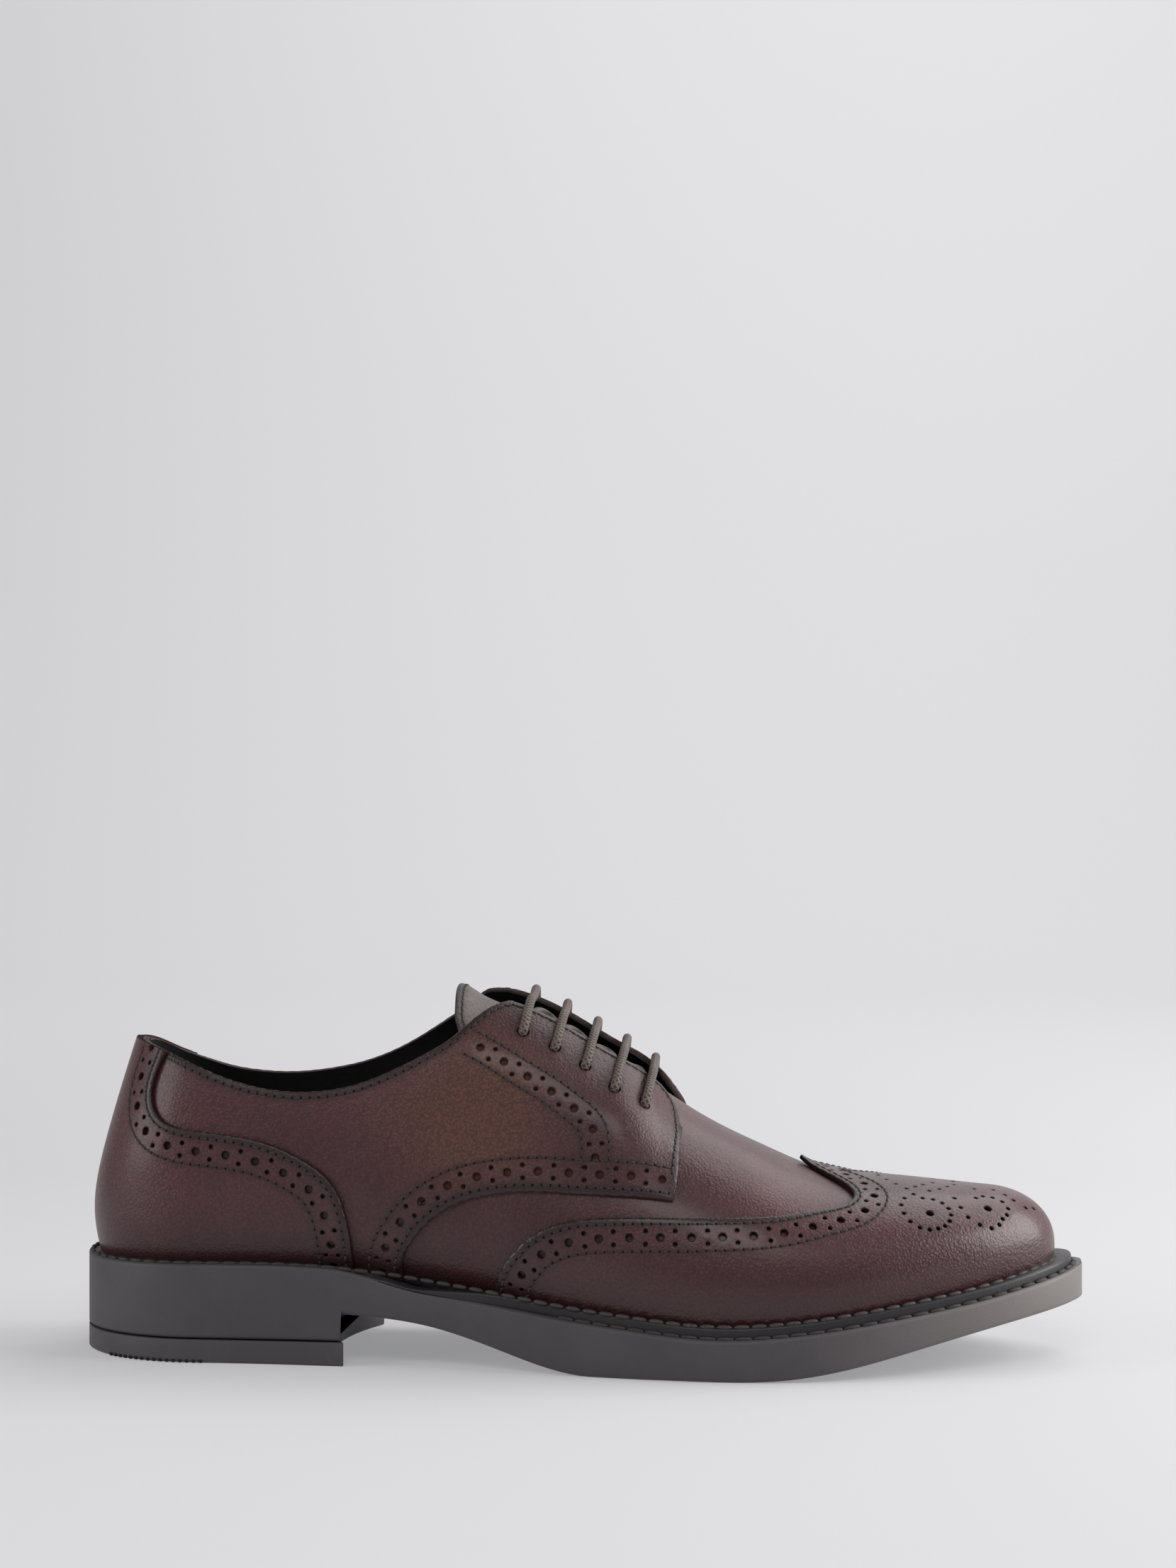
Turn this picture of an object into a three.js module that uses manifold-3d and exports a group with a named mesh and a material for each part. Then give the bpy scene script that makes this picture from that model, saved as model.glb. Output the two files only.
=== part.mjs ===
// Brogue derby shoe for the right foot: millimetres, +Z up, toe towards +X, outer side towards -Y.
// One last form, grown or shrunk by the leather that lies on it, gives every piece of the upper.
// The sole follows the last's plan outline at a margin, so the whole shoe is driven by the sizes below.
import * as THREE from "three";
import { mergeVertices } from "three/addons/utils/BufferGeometryUtils.js";
import Module from "manifold-3d";

const wasm = await Module();
wasm.setup();

// Driving sizes of the last
const lastLength = 290;
const ballWidth = 89;
const instepHeight = 80;
const heelRoundness = 36;
const toeRoundness = 78;
const toeDome = 19;
const toeFront = 0.3;
const heelLean = 0.32;
const heelCurve = 4;
const leanReach = 80;

// Driving sizes of the leather and the lace
const vampWall = 1.8;
const quarterProud = 1.5;
const quarterWall = 2.1;
const overlayThickness = 1.4;
const facingLift = 6.5;
const tongueThickness = 2;
const laceDiameter = 2.8;
const eyeletDiameter = 4.6;
const laceSlant = -0.006;
const laceCrown = 0.8;
const runOffset = 4.5;

// Driving sizes of the bottom
const heelHeight = 29.5;
const ballRim = 15.2;
const toeRim = 32.8;
const archHeight = 15.2;
const toeSpring = 17.8;
const heelMargin = 5;
const toeMargin = 11;
const liftThickness = 7;
const breastFromBack = 85.5;
const breastHollow = 8;
const weltThickness = 2.9;
const weltStart = 95;
const ledgeWidth = 3.2;
const insoleThickness = 2.5;
const gap = 0.3;

const soleLength = heelMargin + lastLength + toeMargin;

// The last's cross-sections from heel to toe, at shares of lastLength. axis, lateral, medial and tuck are
// shares of ballWidth, height of instepHeight, bulge of the section's own height, and full is its roundness.
const sections = [
  { at: 0.0, axis: 0.0, lateral: 0.354, medial: 0.354, height: 1.056, bulge: 0.16, tuck: 0.045, full: 2.2 },
  { at: 0.15, axis: 0.0, lateral: 0.354, medial: 0.354, height: 1.058, bulge: 0.16, tuck: 0.045, full: 2.2 },
  { at: 0.25, axis: 0.005, lateral: 0.371, medial: 0.343, height: 1.062, bulge: 0.17, tuck: 0.055, full: 2.2 },
  { at: 0.34, axis: 0.018, lateral: 0.408, medial: 0.32, height: 1.082, bulge: 0.19, tuck: 0.07, full: 2.15 },
  { at: 0.42, axis: 0.028, lateral: 0.446, medial: 0.312, height: 1.094, bulge: 0.2, tuck: 0.07, full: 2.05 },
  { at: 0.475, axis: 0.03, lateral: 0.476, medial: 0.328, height: 1.04, bulge: 0.2, tuck: 0.06, full: 2.0 },
  { at: 0.53, axis: 0.028, lateral: 0.502, medial: 0.364, height: 0.942, bulge: 0.2, tuck: 0.05, full: 1.95 },
  { at: 0.575, axis: 0.024, lateral: 0.519, medial: 0.403, height: 0.864, bulge: 0.2, tuck: 0.045, full: 1.95 },
  { at: 0.625, axis: 0.014, lateral: 0.526, medial: 0.446, height: 0.765, bulge: 0.21, tuck: 0.04, full: 2.0 },
  { at: 0.7, axis: 0.006, lateral: 0.518, medial: 0.484, height: 0.63, bulge: 0.24, tuck: 0.035, full: 2.05 },
  { at: 0.76, axis: 0.01, lateral: 0.497, medial: 0.484, height: 0.52, bulge: 0.26, tuck: 0.03, full: 2.1 },
  { at: 0.84, axis: 0.024, lateral: 0.458, medial: 0.45, height: 0.434, bulge: 0.3, tuck: 0.03, full: 2.2 },
  { at: 0.92, axis: 0.05, lateral: 0.43, medial: 0.41, height: 0.356, bulge: 0.34, tuck: 0.03, full: 2.3 },
  { at: 1.0, axis: 0.08, lateral: 0.41, medial: 0.38, height: 0.275, bulge: 0.38, tuck: 0.03, full: 2.3 },
];

// The sole at shares of soleLength. heel and toe are how much of the heel's and the toe's extra height its rim
// has, arch and spring are its underside's shares of archHeight and toeSpring, and margin is its reach past the last.
const soleStations = [
  { at: 0.0, heel: 0.98, toe: 0.0, arch: 1.1, spring: 0.0, margin: 4.8 },
  { at: 0.14, heel: 1.0, toe: 0.0, arch: 1.08, spring: 0.0, margin: 4.8 },
  { at: 0.285, heel: 0.925, toe: 0.0, arch: 1.0, spring: 0.0, margin: 4.2 },
  { at: 0.363, heel: 0.712, toe: 0.0, arch: 0.82, spring: 0.0, margin: 3.8 },
  { at: 0.435, heel: 0.49, toe: 0.0, arch: 0.4, spring: 0.0, margin: 4.0 },
  { at: 0.503, heel: 0.275, toe: 0.0, arch: 0.03, spring: 0.0, margin: 4.8 },
  { at: 0.572, heel: 0.11, toe: 0.0, arch: 0.0, spring: 0.0, margin: 5.6 },
  { at: 0.637, heel: 0.0, toe: 0.0, arch: 0.0, spring: 0.0, margin: 6.2 },
  { at: 0.706, heel: 0.0, toe: 0.05, arch: 0.0, spring: 0.03, margin: 6.4 },
  { at: 0.771, heel: 0.0, toe: 0.18, arch: 0.0, spring: 0.2, margin: 6.6 },
  { at: 0.837, heel: 0.0, toe: 0.355, arch: 0.0, spring: 0.475, margin: 7.2 },
  { at: 0.905, heel: 0.0, toe: 0.565, arch: 0.0, spring: 0.75, margin: 8.4 },
  { at: 0.96, heel: 0.0, toe: 0.775, arch: 0.0, spring: 0.93, margin: 9.8 },
  { at: 1.0, heel: 0.0, toe: 0.93, arch: 0.0, spring: 1.04, margin: 11.0 },
];

// Edges of the upper's pieces in side view: along is a share of lastLength, up of instepHeight above the rim,
// and inner is how much higher the collar lies on the inner side.
const collarLine = [
  { along: 0, up: 0.835, inner: 0 },
  { along: 0.034, up: 0.822, inner: -0.004 },
  { along: 0.058, up: 0.806, inner: -0.045 },
  { along: 0.087, up: 0.775, inner: -0.066 },
  { along: 0.1177, up: 0.73, inner: -0.059 },
  { along: 0.1464, up: 0.69, inner: -0.036 },
  { along: 0.1747, up: 0.66, inner: -0.012 },
  { along: 0.2027, up: 0.644, inner: 0.01 },
  { along: 0.2305, up: 0.642, inner: 0.029 },
  { along: 0.2582, up: 0.655, inner: 0.043 },
  { along: 0.2855, up: 0.684, inner: 0.056 },
  { along: 0.3126, up: 0.731, inner: 0.067 },
  { along: 0.3536, up: 0.824, inner: 0.087 },
  { along: 0.387, up: 0.916, inner: 0.1 },
  { along: 0.4044, up: 0.981, inner: 0.085 },
  { along: 0.4189, up: 1.029, inner: 0.048 },
  { along: 0.4308, up: 1.055, inner: 0.03 },
  { along: 0.443, up: 1.072, inner: 0.02 },
  { along: 0.464, up: 1.1, inner: 0.02 },
];
const quarterLowerEdge = [
  { along: 0.325, up: -0.1 },
  { along: 0.3343, up: 0.026 },
  { along: 0.3385, up: 0.081 },
  { along: 0.3469, up: 0.137 },
  { along: 0.3588, up: 0.2 },
  { along: 0.3725, up: 0.25 },
  { along: 0.3941, up: 0.308 },
  { along: 0.4175, up: 0.347 },
  { along: 0.4527, up: 0.387 },
  { along: 0.4916, up: 0.412 },
  { along: 0.5301, up: 0.425 },
  { along: 0.5685, up: 0.437 },
  { along: 0.5991, up: 0.442 },
  { along: 0.6161, up: 0.44 },
];
const quarterFrontEdge = [
  { along: 0.6193, up: 0.497 },
  { along: 0.6206, up: 0.585 },
  { along: 0.6213, up: 0.659 },
  { along: 0.621, up: 0.718 },
  { along: 0.6185, up: 0.76 },
];
const counterEdge = [
  { along: 0.083, up: 0.83 },
  { along: 0.0772, up: 0.76 },
  { along: 0.0716, up: 0.706 },
  { along: 0.0675, up: 0.638 },
  { along: 0.0698, up: 0.581 },
  { along: 0.0799, up: 0.534 },
  { along: 0.0967, up: 0.507 },
  { along: 0.1308, up: 0.488 },
  { along: 0.1669, up: 0.471 },
  { along: 0.2059, up: 0.435 },
  { along: 0.2338, up: 0.39 },
  { along: 0.2561, up: 0.338 },
  { along: 0.2701, up: 0.274 },
  { along: 0.2771, up: 0.208 },
  { along: 0.2823, up: 0.122 },
  { along: 0.285, up: -0.1 },
];

// The wing cap's edge on one side, climbing from the feather line at 0 to the ridge at 1.
const wingEdge = [
  { at: 0, along: 0.432 },
  { at: 0.078, along: 0.4357 },
  { at: 0.124, along: 0.4402 },
  { at: 0.179, along: 0.4484 },
  { at: 0.235, along: 0.4621 },
  { at: 0.269, along: 0.4776 },
  { at: 0.309, along: 0.5006 },
  { at: 0.348, along: 0.5312 },
  { at: 0.384, along: 0.5694 },
  { at: 0.418, along: 0.6071 },
  { at: 0.463, along: 0.6557 },
  { at: 0.501, along: 0.6967 },
  { at: 0.548, along: 0.7301 },
  { at: 0.602, along: 0.7563 },
  { at: 0.655, along: 0.784 },
  { at: 0.7, along: 0.7945 },
  { at: 0.737, along: 0.7967 },
  { at: 0.782, along: 0.7938 },
  { at: 0.842, along: 0.7838 },
  { at: 0.926, along: 0.7612 },
  { at: 1, along: 0.7372 },
];

// The throat's half width in plan, between the two facings, as shares of ballWidth.
const throatEdge = [
  { at: 0.36, half: 0.2 },
  { at: 0.42, half: 0.194 },
  { at: 0.46, half: 0.188 },
  { at: 0.545, half: 0.184 },
  { at: 0.57, half: 0.178 },
  { at: 0.588, half: 0.152 },
  { at: 0.6, half: 0.132 },
  { at: 0.61, half: 0.145 },
  { at: 0.616, half: 0.18 },
  { at: 0.619, half: 0.24 },
];

// The tongue's half width in plan, and how far its middle lies outside the last.
const tongueStations = [
  { at: 0.383, half: 0.2, lie: 2.2 },
  { at: 0.39, half: 0.24, lie: 1.3 },
  { at: 0.402, half: 0.26, lie: -0.4 },
  { at: 0.418, half: 0.268, lie: -1.6 },
  { at: 0.45, half: 0.265, lie: -2 },
  { at: 0.51, half: 0.25, lie: -2 },
  { at: 0.555, half: 0.235, lie: -2.3 },
  { at: 0.6, half: 0.21, lie: -2.3 },
  { at: 0.66, half: 0.2, lie: -2.3 },
];

// Eyelets, and how far each lies from the throat's edge as a share of ballWidth.
const eyelets = [
  { along: 0.4512, fromEdge: 0.096 },
  { along: 0.4817, fromEdge: 0.104 },
  { along: 0.5125, fromEdge: 0.113 },
  { along: 0.545, fromEdge: 0.136 },
  { along: 0.5768, fromEdge: 0.131 },
];
const eyeletInset = curveThrough(eyelets.map(({ along, fromEdge }) => ({ at: along, fromEdge })), "fromEdge");

// Fineness of the forms
const formStations = 32;
const formSpokes = 20;
const wallShare = 0.22;
const skirtDrop = 8;
const wideReach = 2 * ballWidth;

// Natural cubic spline through one column of a table, as a function of its column "at".
function curveThrough(rows, column) {
  const x = rows.map((row) => row.at);
  const y = rows.map((row) => row[column]);
  const end = x.length - 1;
  const bend = new Array(end + 1).fill(0);
  const carry = new Array(end + 1).fill(0);
  for (let i = 1; i < end; i++) {
    const before = x[i] - x[i - 1];
    const after = x[i + 1] - x[i];
    const share = before / (before + after);
    const pivot = share * bend[i - 1] + 2;
    const turn = (y[i + 1] - y[i]) / after - (y[i] - y[i - 1]) / before;
    bend[i] = (share - 1) / pivot;
    carry[i] = ((6 * turn) / (before + after) - share * carry[i - 1]) / pivot;
  }
  for (let i = end - 1; i >= 0; i--) bend[i] = bend[i] * bend[i + 1] + carry[i];
  return (at) => {
    const t = Math.min(Math.max(at, x[0]), x[end]);
    let i = 1;
    while (i < end && x[i] < t) i++;
    const span = x[i] - x[i - 1];
    const a = (x[i] - t) / span;
    const b = 1 - a;
    const curl = ((a ** 3 - a) * bend[i - 1] + (b ** 3 - b) * bend[i]) * span ** 2;
    return a * y[i - 1] + b * y[i] + curl / 6;
  };
}

const curvesOf = (rows) =>
  Object.fromEntries(
    Object.keys(rows[0])
      .filter((column) => column !== "at")
      .map((column) => [column, curveThrough(rows, column)]),
  );

const last = curvesOf(sections);
const sole = curvesOf(soleStations);
const wing = curvesOf(wingEdge);
const tongueCurves = curvesOf(tongueStations);
const throat = curvesOf(throatEdge);

// How much of its full size an end that is rounded over a radius has at a distance from its tip.
const roundedEnd = (distance, radius, power) =>
  (1 - Math.max(0, 1 - distance / radius) ** power) ** (1 / power);

const smoothStep = (value, low, high) => {
  const t = Math.min(Math.max((value - low) / (high - low), 0), 1);
  return t * t * (3 - 2 * t);
};

const xAt = (along) => heelMargin + along * lastLength;

// The rim that the upper rises from: the sole's own edge at the heel, the welt's top from the waist forward.
function rimHeight(x) {
  const at = x / soleLength;
  return ballRim + sole.heel(at) * (heelHeight - ballRim) + sole.toe(at) * (toeRim - ballRim);
}

// Top of the sole, where the upper and the welt stand, and its underside.
function seatHeight(x) {
  return rimHeight(x) - (weltThickness + gap) * smoothStep(x, weltStart - 15, weltStart + 15);
}
function undersideHeight(x) {
  const at = x / soleLength;
  return Math.max(0, sole.arch(at) * archHeight + sole.spring(at) * toeSpring);
}

// A point of the last: along runs from heel 0 to toe 1, around from the outer feather line -1 over the
// ridge 0 to the inner feather line 1.
function lastPoint(along, around) {
  const fromHeel = along * lastLength;
  const fromToe = lastLength - fromHeel;
  const side = around < 0 ? -1 : 1;
  const climb = 1 - Math.abs(around);
  const ends = roundedEnd(fromHeel, heelRoundness, 2.1) * roundedEnd(fromToe, toeRoundness, 2.15);
  const half = ballWidth * (side < 0 ? last.lateral(along) : last.medial(along)) * ends;
  const dome = toeFront + (1 - toeFront) * roundedEnd(fromToe, toeDome, 2.3);
  const height = instepHeight * last.height(along) * dome;
  const bulge = height * last.bulge(along);
  let out, up;
  if (climb < wallShare) {
    const share = climb / wallShare;
    out = half - ballWidth * last.tuck(along) * ends * (1 - share) ** 2;
    up = bulge * share;
  } else {
    const angle = ((climb - wallShare) / (1 - wallShare)) * (Math.PI / 2);
    const power = 2 / last.full(along);
    out = half * Math.max(0, Math.cos(angle)) ** power;
    up = bulge + (height - bulge) * Math.max(0, Math.sin(angle)) ** power;
  }
  const leanShare = Math.max(0, 1 - fromHeel / leanReach) ** 2;
  const lean = (Math.hypot(heelLean * (up - bulge), heelCurve) - heelCurve) * leanShare;
  const x = xAt(along);
  return new THREE.Vector3(x + lean, ballWidth * last.axis(along) + side * out, seatHeight(x) + up);
}

// Outward direction of the last at a point. The heel's back line and the toe's tip are shared by both sides.
function lastNormal(along, around) {
  const step = 1e-4;
  if (along < step || along > 1 - step) {
    const inside = along < step ? step : 1 - step;
    const sum = lastNormal(inside, around).add(lastNormal(inside, -around));
    sum.y = 0;
    return sum.normalize();
  }
  const low = Math.max(around - step, -1);
  const high = Math.min(around + step, 1);
  const forward = lastPoint(along + step / 2, around).sub(lastPoint(along - step / 2, around));
  const across = lastPoint(along, high).sub(lastPoint(along, low));
  return forward.cross(across).normalize();
}

const grownPoint = (along, around, growth) =>
  lastPoint(along, around).addScaledVector(lastNormal(along, around), growth);

// The facings stand off the last near the ridge, where tongue and lace lie under them, down to the throat's front.
function liftAt(along, around) {
  const alongShare = smoothStep(along, 0.28, 0.42) * (1 - smoothStep(along, 0.55, 0.63));
  return facingLift * alongShare * smoothStep(1 - Math.abs(around), 0.4, 0.66);
}
const quarterGrowth = (growth) => (along, around) => growth + liftAt(along, around);

const stationAt = (i) => (1 - Math.cos((Math.PI * i) / formStations)) / 2;
const spokeAt = (j) => -1 + (2 * j) / formSpokes;

// A point on the facets of a grown form, rather than on the smooth surface that they follow.
function facetPoint(along, around, growthAt) {
  const i = (Math.acos(1 - 2 * along) / Math.PI) * formStations;
  const j = ((around + 1) / 2) * formSpokes;
  const corner = (nextStation, nextSpoke) => {
    const station = stationAt(Math.floor(i) + nextStation);
    const spoke = spokeAt(Math.floor(j) + nextSpoke);
    return grownPoint(station, spoke, growthAt(station, spoke));
  };
  const near = corner(0, 0).lerp(corner(1, 0), i % 1);
  const far = corner(0, 1).lerp(corner(1, 1), i % 1);
  return near.lerp(far, j % 1);
}

// A closed solid through rings of equal length. Rings at the ends either close on themselves or are capped.
function solidFromRings(rings, capped) {
  const count = rings[0].length;
  const position = rings.flat().flatMap((point) => [point.x, point.y, point.z]);
  const index = [];
  for (let i = 0; i + 1 < rings.length; i++) {
    for (let j = 0; j < count; j++) {
      const a = i * count + j;
      const b = i * count + ((j + 1) % count);
      index.push(a, a + count, b, b, a + count, b + count);
    }
  }
  if (capped) {
    const top = (rings.length - 1) * count;
    for (let j = 1; j + 1 < count; j++) index.push(0, j, j + 1, top, top + j + 1, top + j);
  }
  const geometry = new THREE.BufferGeometry();
  geometry.setAttribute("position", new THREE.Float32BufferAttribute(position, 3));
  geometry.setIndex(index);
  return solidFromGeometry(geometry);
}

function bareCopy(source) {
  const bare = source.clone();
  bare.deleteAttribute("normal");
  bare.deleteAttribute("uv");
  return bare;
}

// A manifold solid from any closed three.js geometry. Triangles that a merged edge has emptied are dropped.
function solidFromGeometry(source) {
  const merged = mergeVertices(bareCopy(source), 1e-4);
  const corners = merged.index.array;
  const triangles = [];
  for (let i = 0; i < corners.length; i += 3) {
    const [a, b, c] = [corners[i], corners[i + 1], corners[i + 2]];
    if (a !== b && b !== c && a !== c) triangles.push(a, b, c);
  }
  const mesh = new wasm.Mesh({
    numProp: 3,
    vertProperties: merged.attributes.position.array,
    triVerts: new Uint32Array(triangles),
  });
  return new wasm.Manifold(mesh);
}

// The last as a closed form, grown by a thickness or by a function of the place, with a skirt below the seat.
function lastForm(growth) {
  const growthAt = typeof growth === "function" ? growth : () => growth;
  const rings = [];
  for (let i = 0; i <= formStations; i++) {
    const along = stationAt(i);
    const ring = [];
    for (let j = 0; j <= formSpokes; j++) {
      const around = spokeAt(j);
      ring.push(grownPoint(along, around, growthAt(along, around)));
    }
    const hem = seatHeight(xAt(along)) - skirtDrop;
    const [first, final] = [ring[0], ring[formSpokes]];
    ring.unshift(new THREE.Vector3(first.x, first.y, hem));
    ring.push(new THREE.Vector3(final.x, final.y, hem));
    rings.push(ring);
  }
  return solidFromRings(rings, false);
}

// A prism along Y from a shape drawn in side view, x and z, over the whole width or on one side of the middle.
function sidePrism(shape, side = 0) {
  const geometry = new THREE.ExtrudeGeometry(shape, {
    depth: side ? wideReach : 2 * wideReach,
    bevelEnabled: false,
    curveSegments: 3,
  });
  return solidFromGeometry(geometry.rotateX(Math.PI / 2).translate(0, side < 0 ? 0 : wideReach, 0));
}

// A prism along Z from a shape drawn in plan, x and y, between two heights.
function planPrism(shape, fromZ, toZ) {
  const geometry = new THREE.ExtrudeGeometry(shape, {
    depth: toZ - fromZ,
    bevelEnabled: false,
    curveSegments: 3,
  });
  return solidFromGeometry(geometry.translate(0, 0, fromZ));
}

const sidePoints = (line) =>
  line.map(({ along, up }) => {
    const x = xAt(along);
    return new THREE.Vector2(x, rimHeight(x) + up * instepHeight);
  });

// Everything between two heights along the shoe, from one x to another, in side view.
function bandBetween(lowAt, highAt, from = -10, to = soleLength + 10) {
  const steps = 32;
  const top = [];
  const bottom = [];
  for (let i = 0; i <= steps; i++) {
    const x = from + ((to - from) * i) / steps;
    top.push(new THREE.Vector2(x, highAt(x)));
    bottom.unshift(new THREE.Vector2(x, lowAt(x)));
  }
  return sidePrism(new THREE.Shape([...top, ...bottom]));
}
const seatRaised = (rise) => (x) => seatHeight(x) + rise;

// Plan outline of the sole as a closed loop of points, inset by a width.
function soleOutline(inset) {
  const steps = 32;
  const lateral = [];
  const medial = [];
  for (let i = 0; i <= steps; i++) {
    const along = (1 - Math.cos((Math.PI * i) / steps)) / 2;
    for (const [side, row] of [[-1, lateral], [1, medial]]) {
      const around = side * (1 - wallShare);
      const point = lastPoint(along, around);
      const out = lastNormal(along, around).setZ(0).normalize();
      const margin = sole.margin(point.x / soleLength) - inset;
      row.push(new THREE.Vector2(point.x + out.x * margin, point.y + out.y * margin));
    }
  }
  return [...lateral, ...medial.slice(1, -1).reverse()];
}

// Outsole and heel

// The heel in plan: the sole's outline back to a breast that is hollowed by an arc.
function heelShape() {
  const outline = soleOutline(0).filter((point) => point.x < breastFromBack);
  const lateral = outline.filter((point) => point.y < 0);
  const medial = outline.filter((point) => point.y >= 0);
  const edgeY = (row) => row.reduce((a, b) => (a.x > b.x ? a : b)).y;
  const [near, far] = [edgeY(lateral), edgeY(medial)];
  const breast = [];
  const steps = 10;
  for (let i = 0; i <= steps; i++) {
    const share = i / steps;
    const hollow = breastHollow * (1 - (2 * share - 1) ** 2);
    breast.push(new THREE.Vector2(breastFromBack - hollow, near + (far - near) * share));
  }
  const back = [...medial].sort((a, b) => b.x - a.x);
  const front = [...lateral].sort((a, b) => a.x - b.x);
  return new THREE.Shape([...breast, ...back, ...front]);
}

const outline = new THREE.Shape(soleOutline(0));
const heelPlan = heelShape();
const soleBody = planPrism(outline, -5, 60).intersect(bandBetween(undersideHeight, seatHeight));
const heelBlock = planPrism(heelPlan, liftThickness + gap, archHeight + 3);
const outsole = soleBody.add(heelBlock);
const heelLift = planPrism(heelPlan, 0, liftThickness);

// Welt and insole

const counterLayer = quarterProud + gap + overlayThickness;
const wingLayer = gap + overlayThickness;
const layersAt = (along) =>
  wingLayer + gap + (counterLayer - wingLayer) * (1 - smoothStep(along, 0.29, 0.33));
const welt = planPrism(new THREE.Shape(soleOutline(ledgeWidth)), -5, 60)
  .intersect(bandBetween(seatRaised(gap), rimHeight, weltStart, soleLength + 10))
  .subtract(lastForm(layersAt));
const insole = lastForm(-vampWall - gap - 0.2).intersect(
  bandBetween(seatRaised(gap), seatRaised(gap + insoleThickness)),
);

// Upper: vamp and quarters as one hollow wall with a step at the quarter's edge

const aboveSeat = bandBetween(seatRaised(gap), () => wideReach);

function quarterRegion() {
  const shape = new THREE.Shape();
  const lower = sidePoints(quarterLowerEdge);
  const front = sidePoints(quarterFrontEdge);
  shape.moveTo(-50, -50);
  shape.lineTo(lower[0].x, -50);
  shape.lineTo(lower[0].x, lower[0].y);
  shape.splineThru(lower.slice(1));
  shape.lineTo(front[0].x, front[0].y);
  shape.splineThru(front.slice(1));
  shape.lineTo(front.at(-1).x - 4, wideReach);
  shape.lineTo(-50, wideReach);
  return sidePrism(shape);
}

// The vamp runs on under the quarters for the width of its seam.
function vampRegion() {
  const underlap = 8;
  const shape = new THREE.Shape();
  const lower = sidePoints(quarterLowerEdge).map((p) => new THREE.Vector2(p.x - underlap, p.y));
  shape.moveTo(wideReach * 2, -50);
  shape.lineTo(wideReach * 2, wideReach);
  shape.lineTo(lower.at(-1).x, wideReach);
  shape.lineTo(lower.at(-1).x, lower.at(-1).y);
  shape.splineThru(lower.slice(0, -1).reverse());
  shape.lineTo(lower[0].x, -50);
  return sidePrism(shape);
}

function collarCutter() {
  const cutter = (rows, side) => {
    const line = sidePoints(rows);
    const shape = new THREE.Shape();
    shape.moveTo(-50, wideReach);
    shape.lineTo(-50, line[0].y);
    shape.lineTo(line[0].x, line[0].y);
    shape.splineThru(line.slice(1));
    shape.lineTo(line.at(-1).x, wideReach);
    return sidePrism(shape, side);
  };
  const innerLine = collarLine.map(({ along, up, inner }) => ({ along, up: up + inner }));
  return cutter(collarLine, -1).add(cutter(innerLine, 1));
}

function throatCutter() {
  const edge = throatEdge.map(({ at, half }) => [xAt(at), half * ballWidth]);
  const [lateral, medial] = [-1, 1].map((side) =>
    edge.map(([x, half]) => new THREE.Vector2(x, side * half)),
  );
  const shape = new THREE.Shape();
  shape.moveTo(lateral[0].x, lateral[0].y);
  shape.splineThru(lateral.slice(1));
  shape.lineTo(medial.at(-1).x, medial.at(-1).y);
  shape.splineThru(medial.slice(0, -1).reverse());
  return planPrism(shape, 40, wideReach);
}

// A point over or under the facing's outer face: inward is how far it lies from the eyelets' row towards the
// throat, in plan, and height how far it stands off the face.
function facingPoint(along, side, inward, height) {
  const target = (throat.half(along) + eyeletInset(along)) * ballWidth - inward;
  let [low, high] = [0, 0.7];
  for (let i = 0; i < 24; i++) {
    const middle = (low + high) / 2;
    if (Math.abs(facingOffset(along, side * middle, 0).y) < target) low = middle;
    else high = middle;
  }
  return facingOffset(along, side * low, height);
}
const facingOffset = (along, around, height) =>
  facetPoint(along, around, quarterGrowth(quarterProud + height));

function eyeletCutter(along, side) {
  const middle = facingPoint(along, side, 0, -quarterWall / 2);
  const out = facingPoint(along, side, 0, 1).sub(middle).normalize();
  const drill = new THREE.CylinderGeometry(eyeletDiameter / 2, eyeletDiameter / 2, 6, 12);
  drill.applyQuaternion(new THREE.Quaternion().setFromUnitVectors(new THREE.Vector3(0, 1, 0), out));
  drill.translate(middle.x, middle.y, middle.z);
  return solidFromGeometry(drill);
}

const vampShell = lastForm(0).subtract(lastForm(-vampWall)).intersect(vampRegion());
let quarterShell = lastForm(quarterGrowth(quarterProud))
  .subtract(lastForm(quarterGrowth(quarterProud - quarterWall)))
  .intersect(quarterRegion())
  .subtract(throatCutter());
for (const { along } of eyelets) {
  quarterShell = quarterShell
    .subtract(eyeletCutter(along, -1))
    .subtract(eyeletCutter(along + laceSlant, 1));
}
const upper = vampShell.add(quarterShell).subtract(collarCutter()).intersect(aboveSeat);

// Overlays

// Everything in front of the wing's edge, as wedges around the last's middle line.
function wingRegion() {
  const steps = 44;
  const front = soleLength + 20;
  const rings = [];
  const ringAt = (along, around, drop) => {
    const edge = grownPoint(along, around, wingLayer);
    const middle = new THREE.Vector3(edge.x, ballWidth * last.axis(along), -20);
    const outer = middle.clone().lerp(edge, 3);
    outer.z -= drop;
    const inner = middle.clone().lerp(edge, 0.1);
    return [
      new THREE.Vector3(front, inner.y, inner.z),
      new THREE.Vector3(front, outer.y, outer.z),
      outer,
      inner,
    ];
  };
  rings.push(ringAt(wing.along(0), -1, 90));
  for (let j = 0; j <= steps; j++) {
    const around = -1 + (2 * j) / steps;
    rings.push(ringAt(wing.along(1 - Math.abs(around)), around, 0));
  }
  rings.push(ringAt(wing.along(0), 1, 90));
  return solidFromRings(rings, true);
}

function counterRegion() {
  const edge = sidePoints(counterEdge);
  const shape = new THREE.Shape();
  shape.moveTo(-50, -50);
  shape.lineTo(edge.at(-1).x, -50);
  shape.lineTo(edge.at(-1).x, edge.at(-1).y);
  shape.splineThru(edge.slice(0, -1).reverse());
  shape.lineTo(edge[0].x, wideReach);
  shape.lineTo(-50, wideReach);
  return sidePrism(shape);
}

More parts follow.
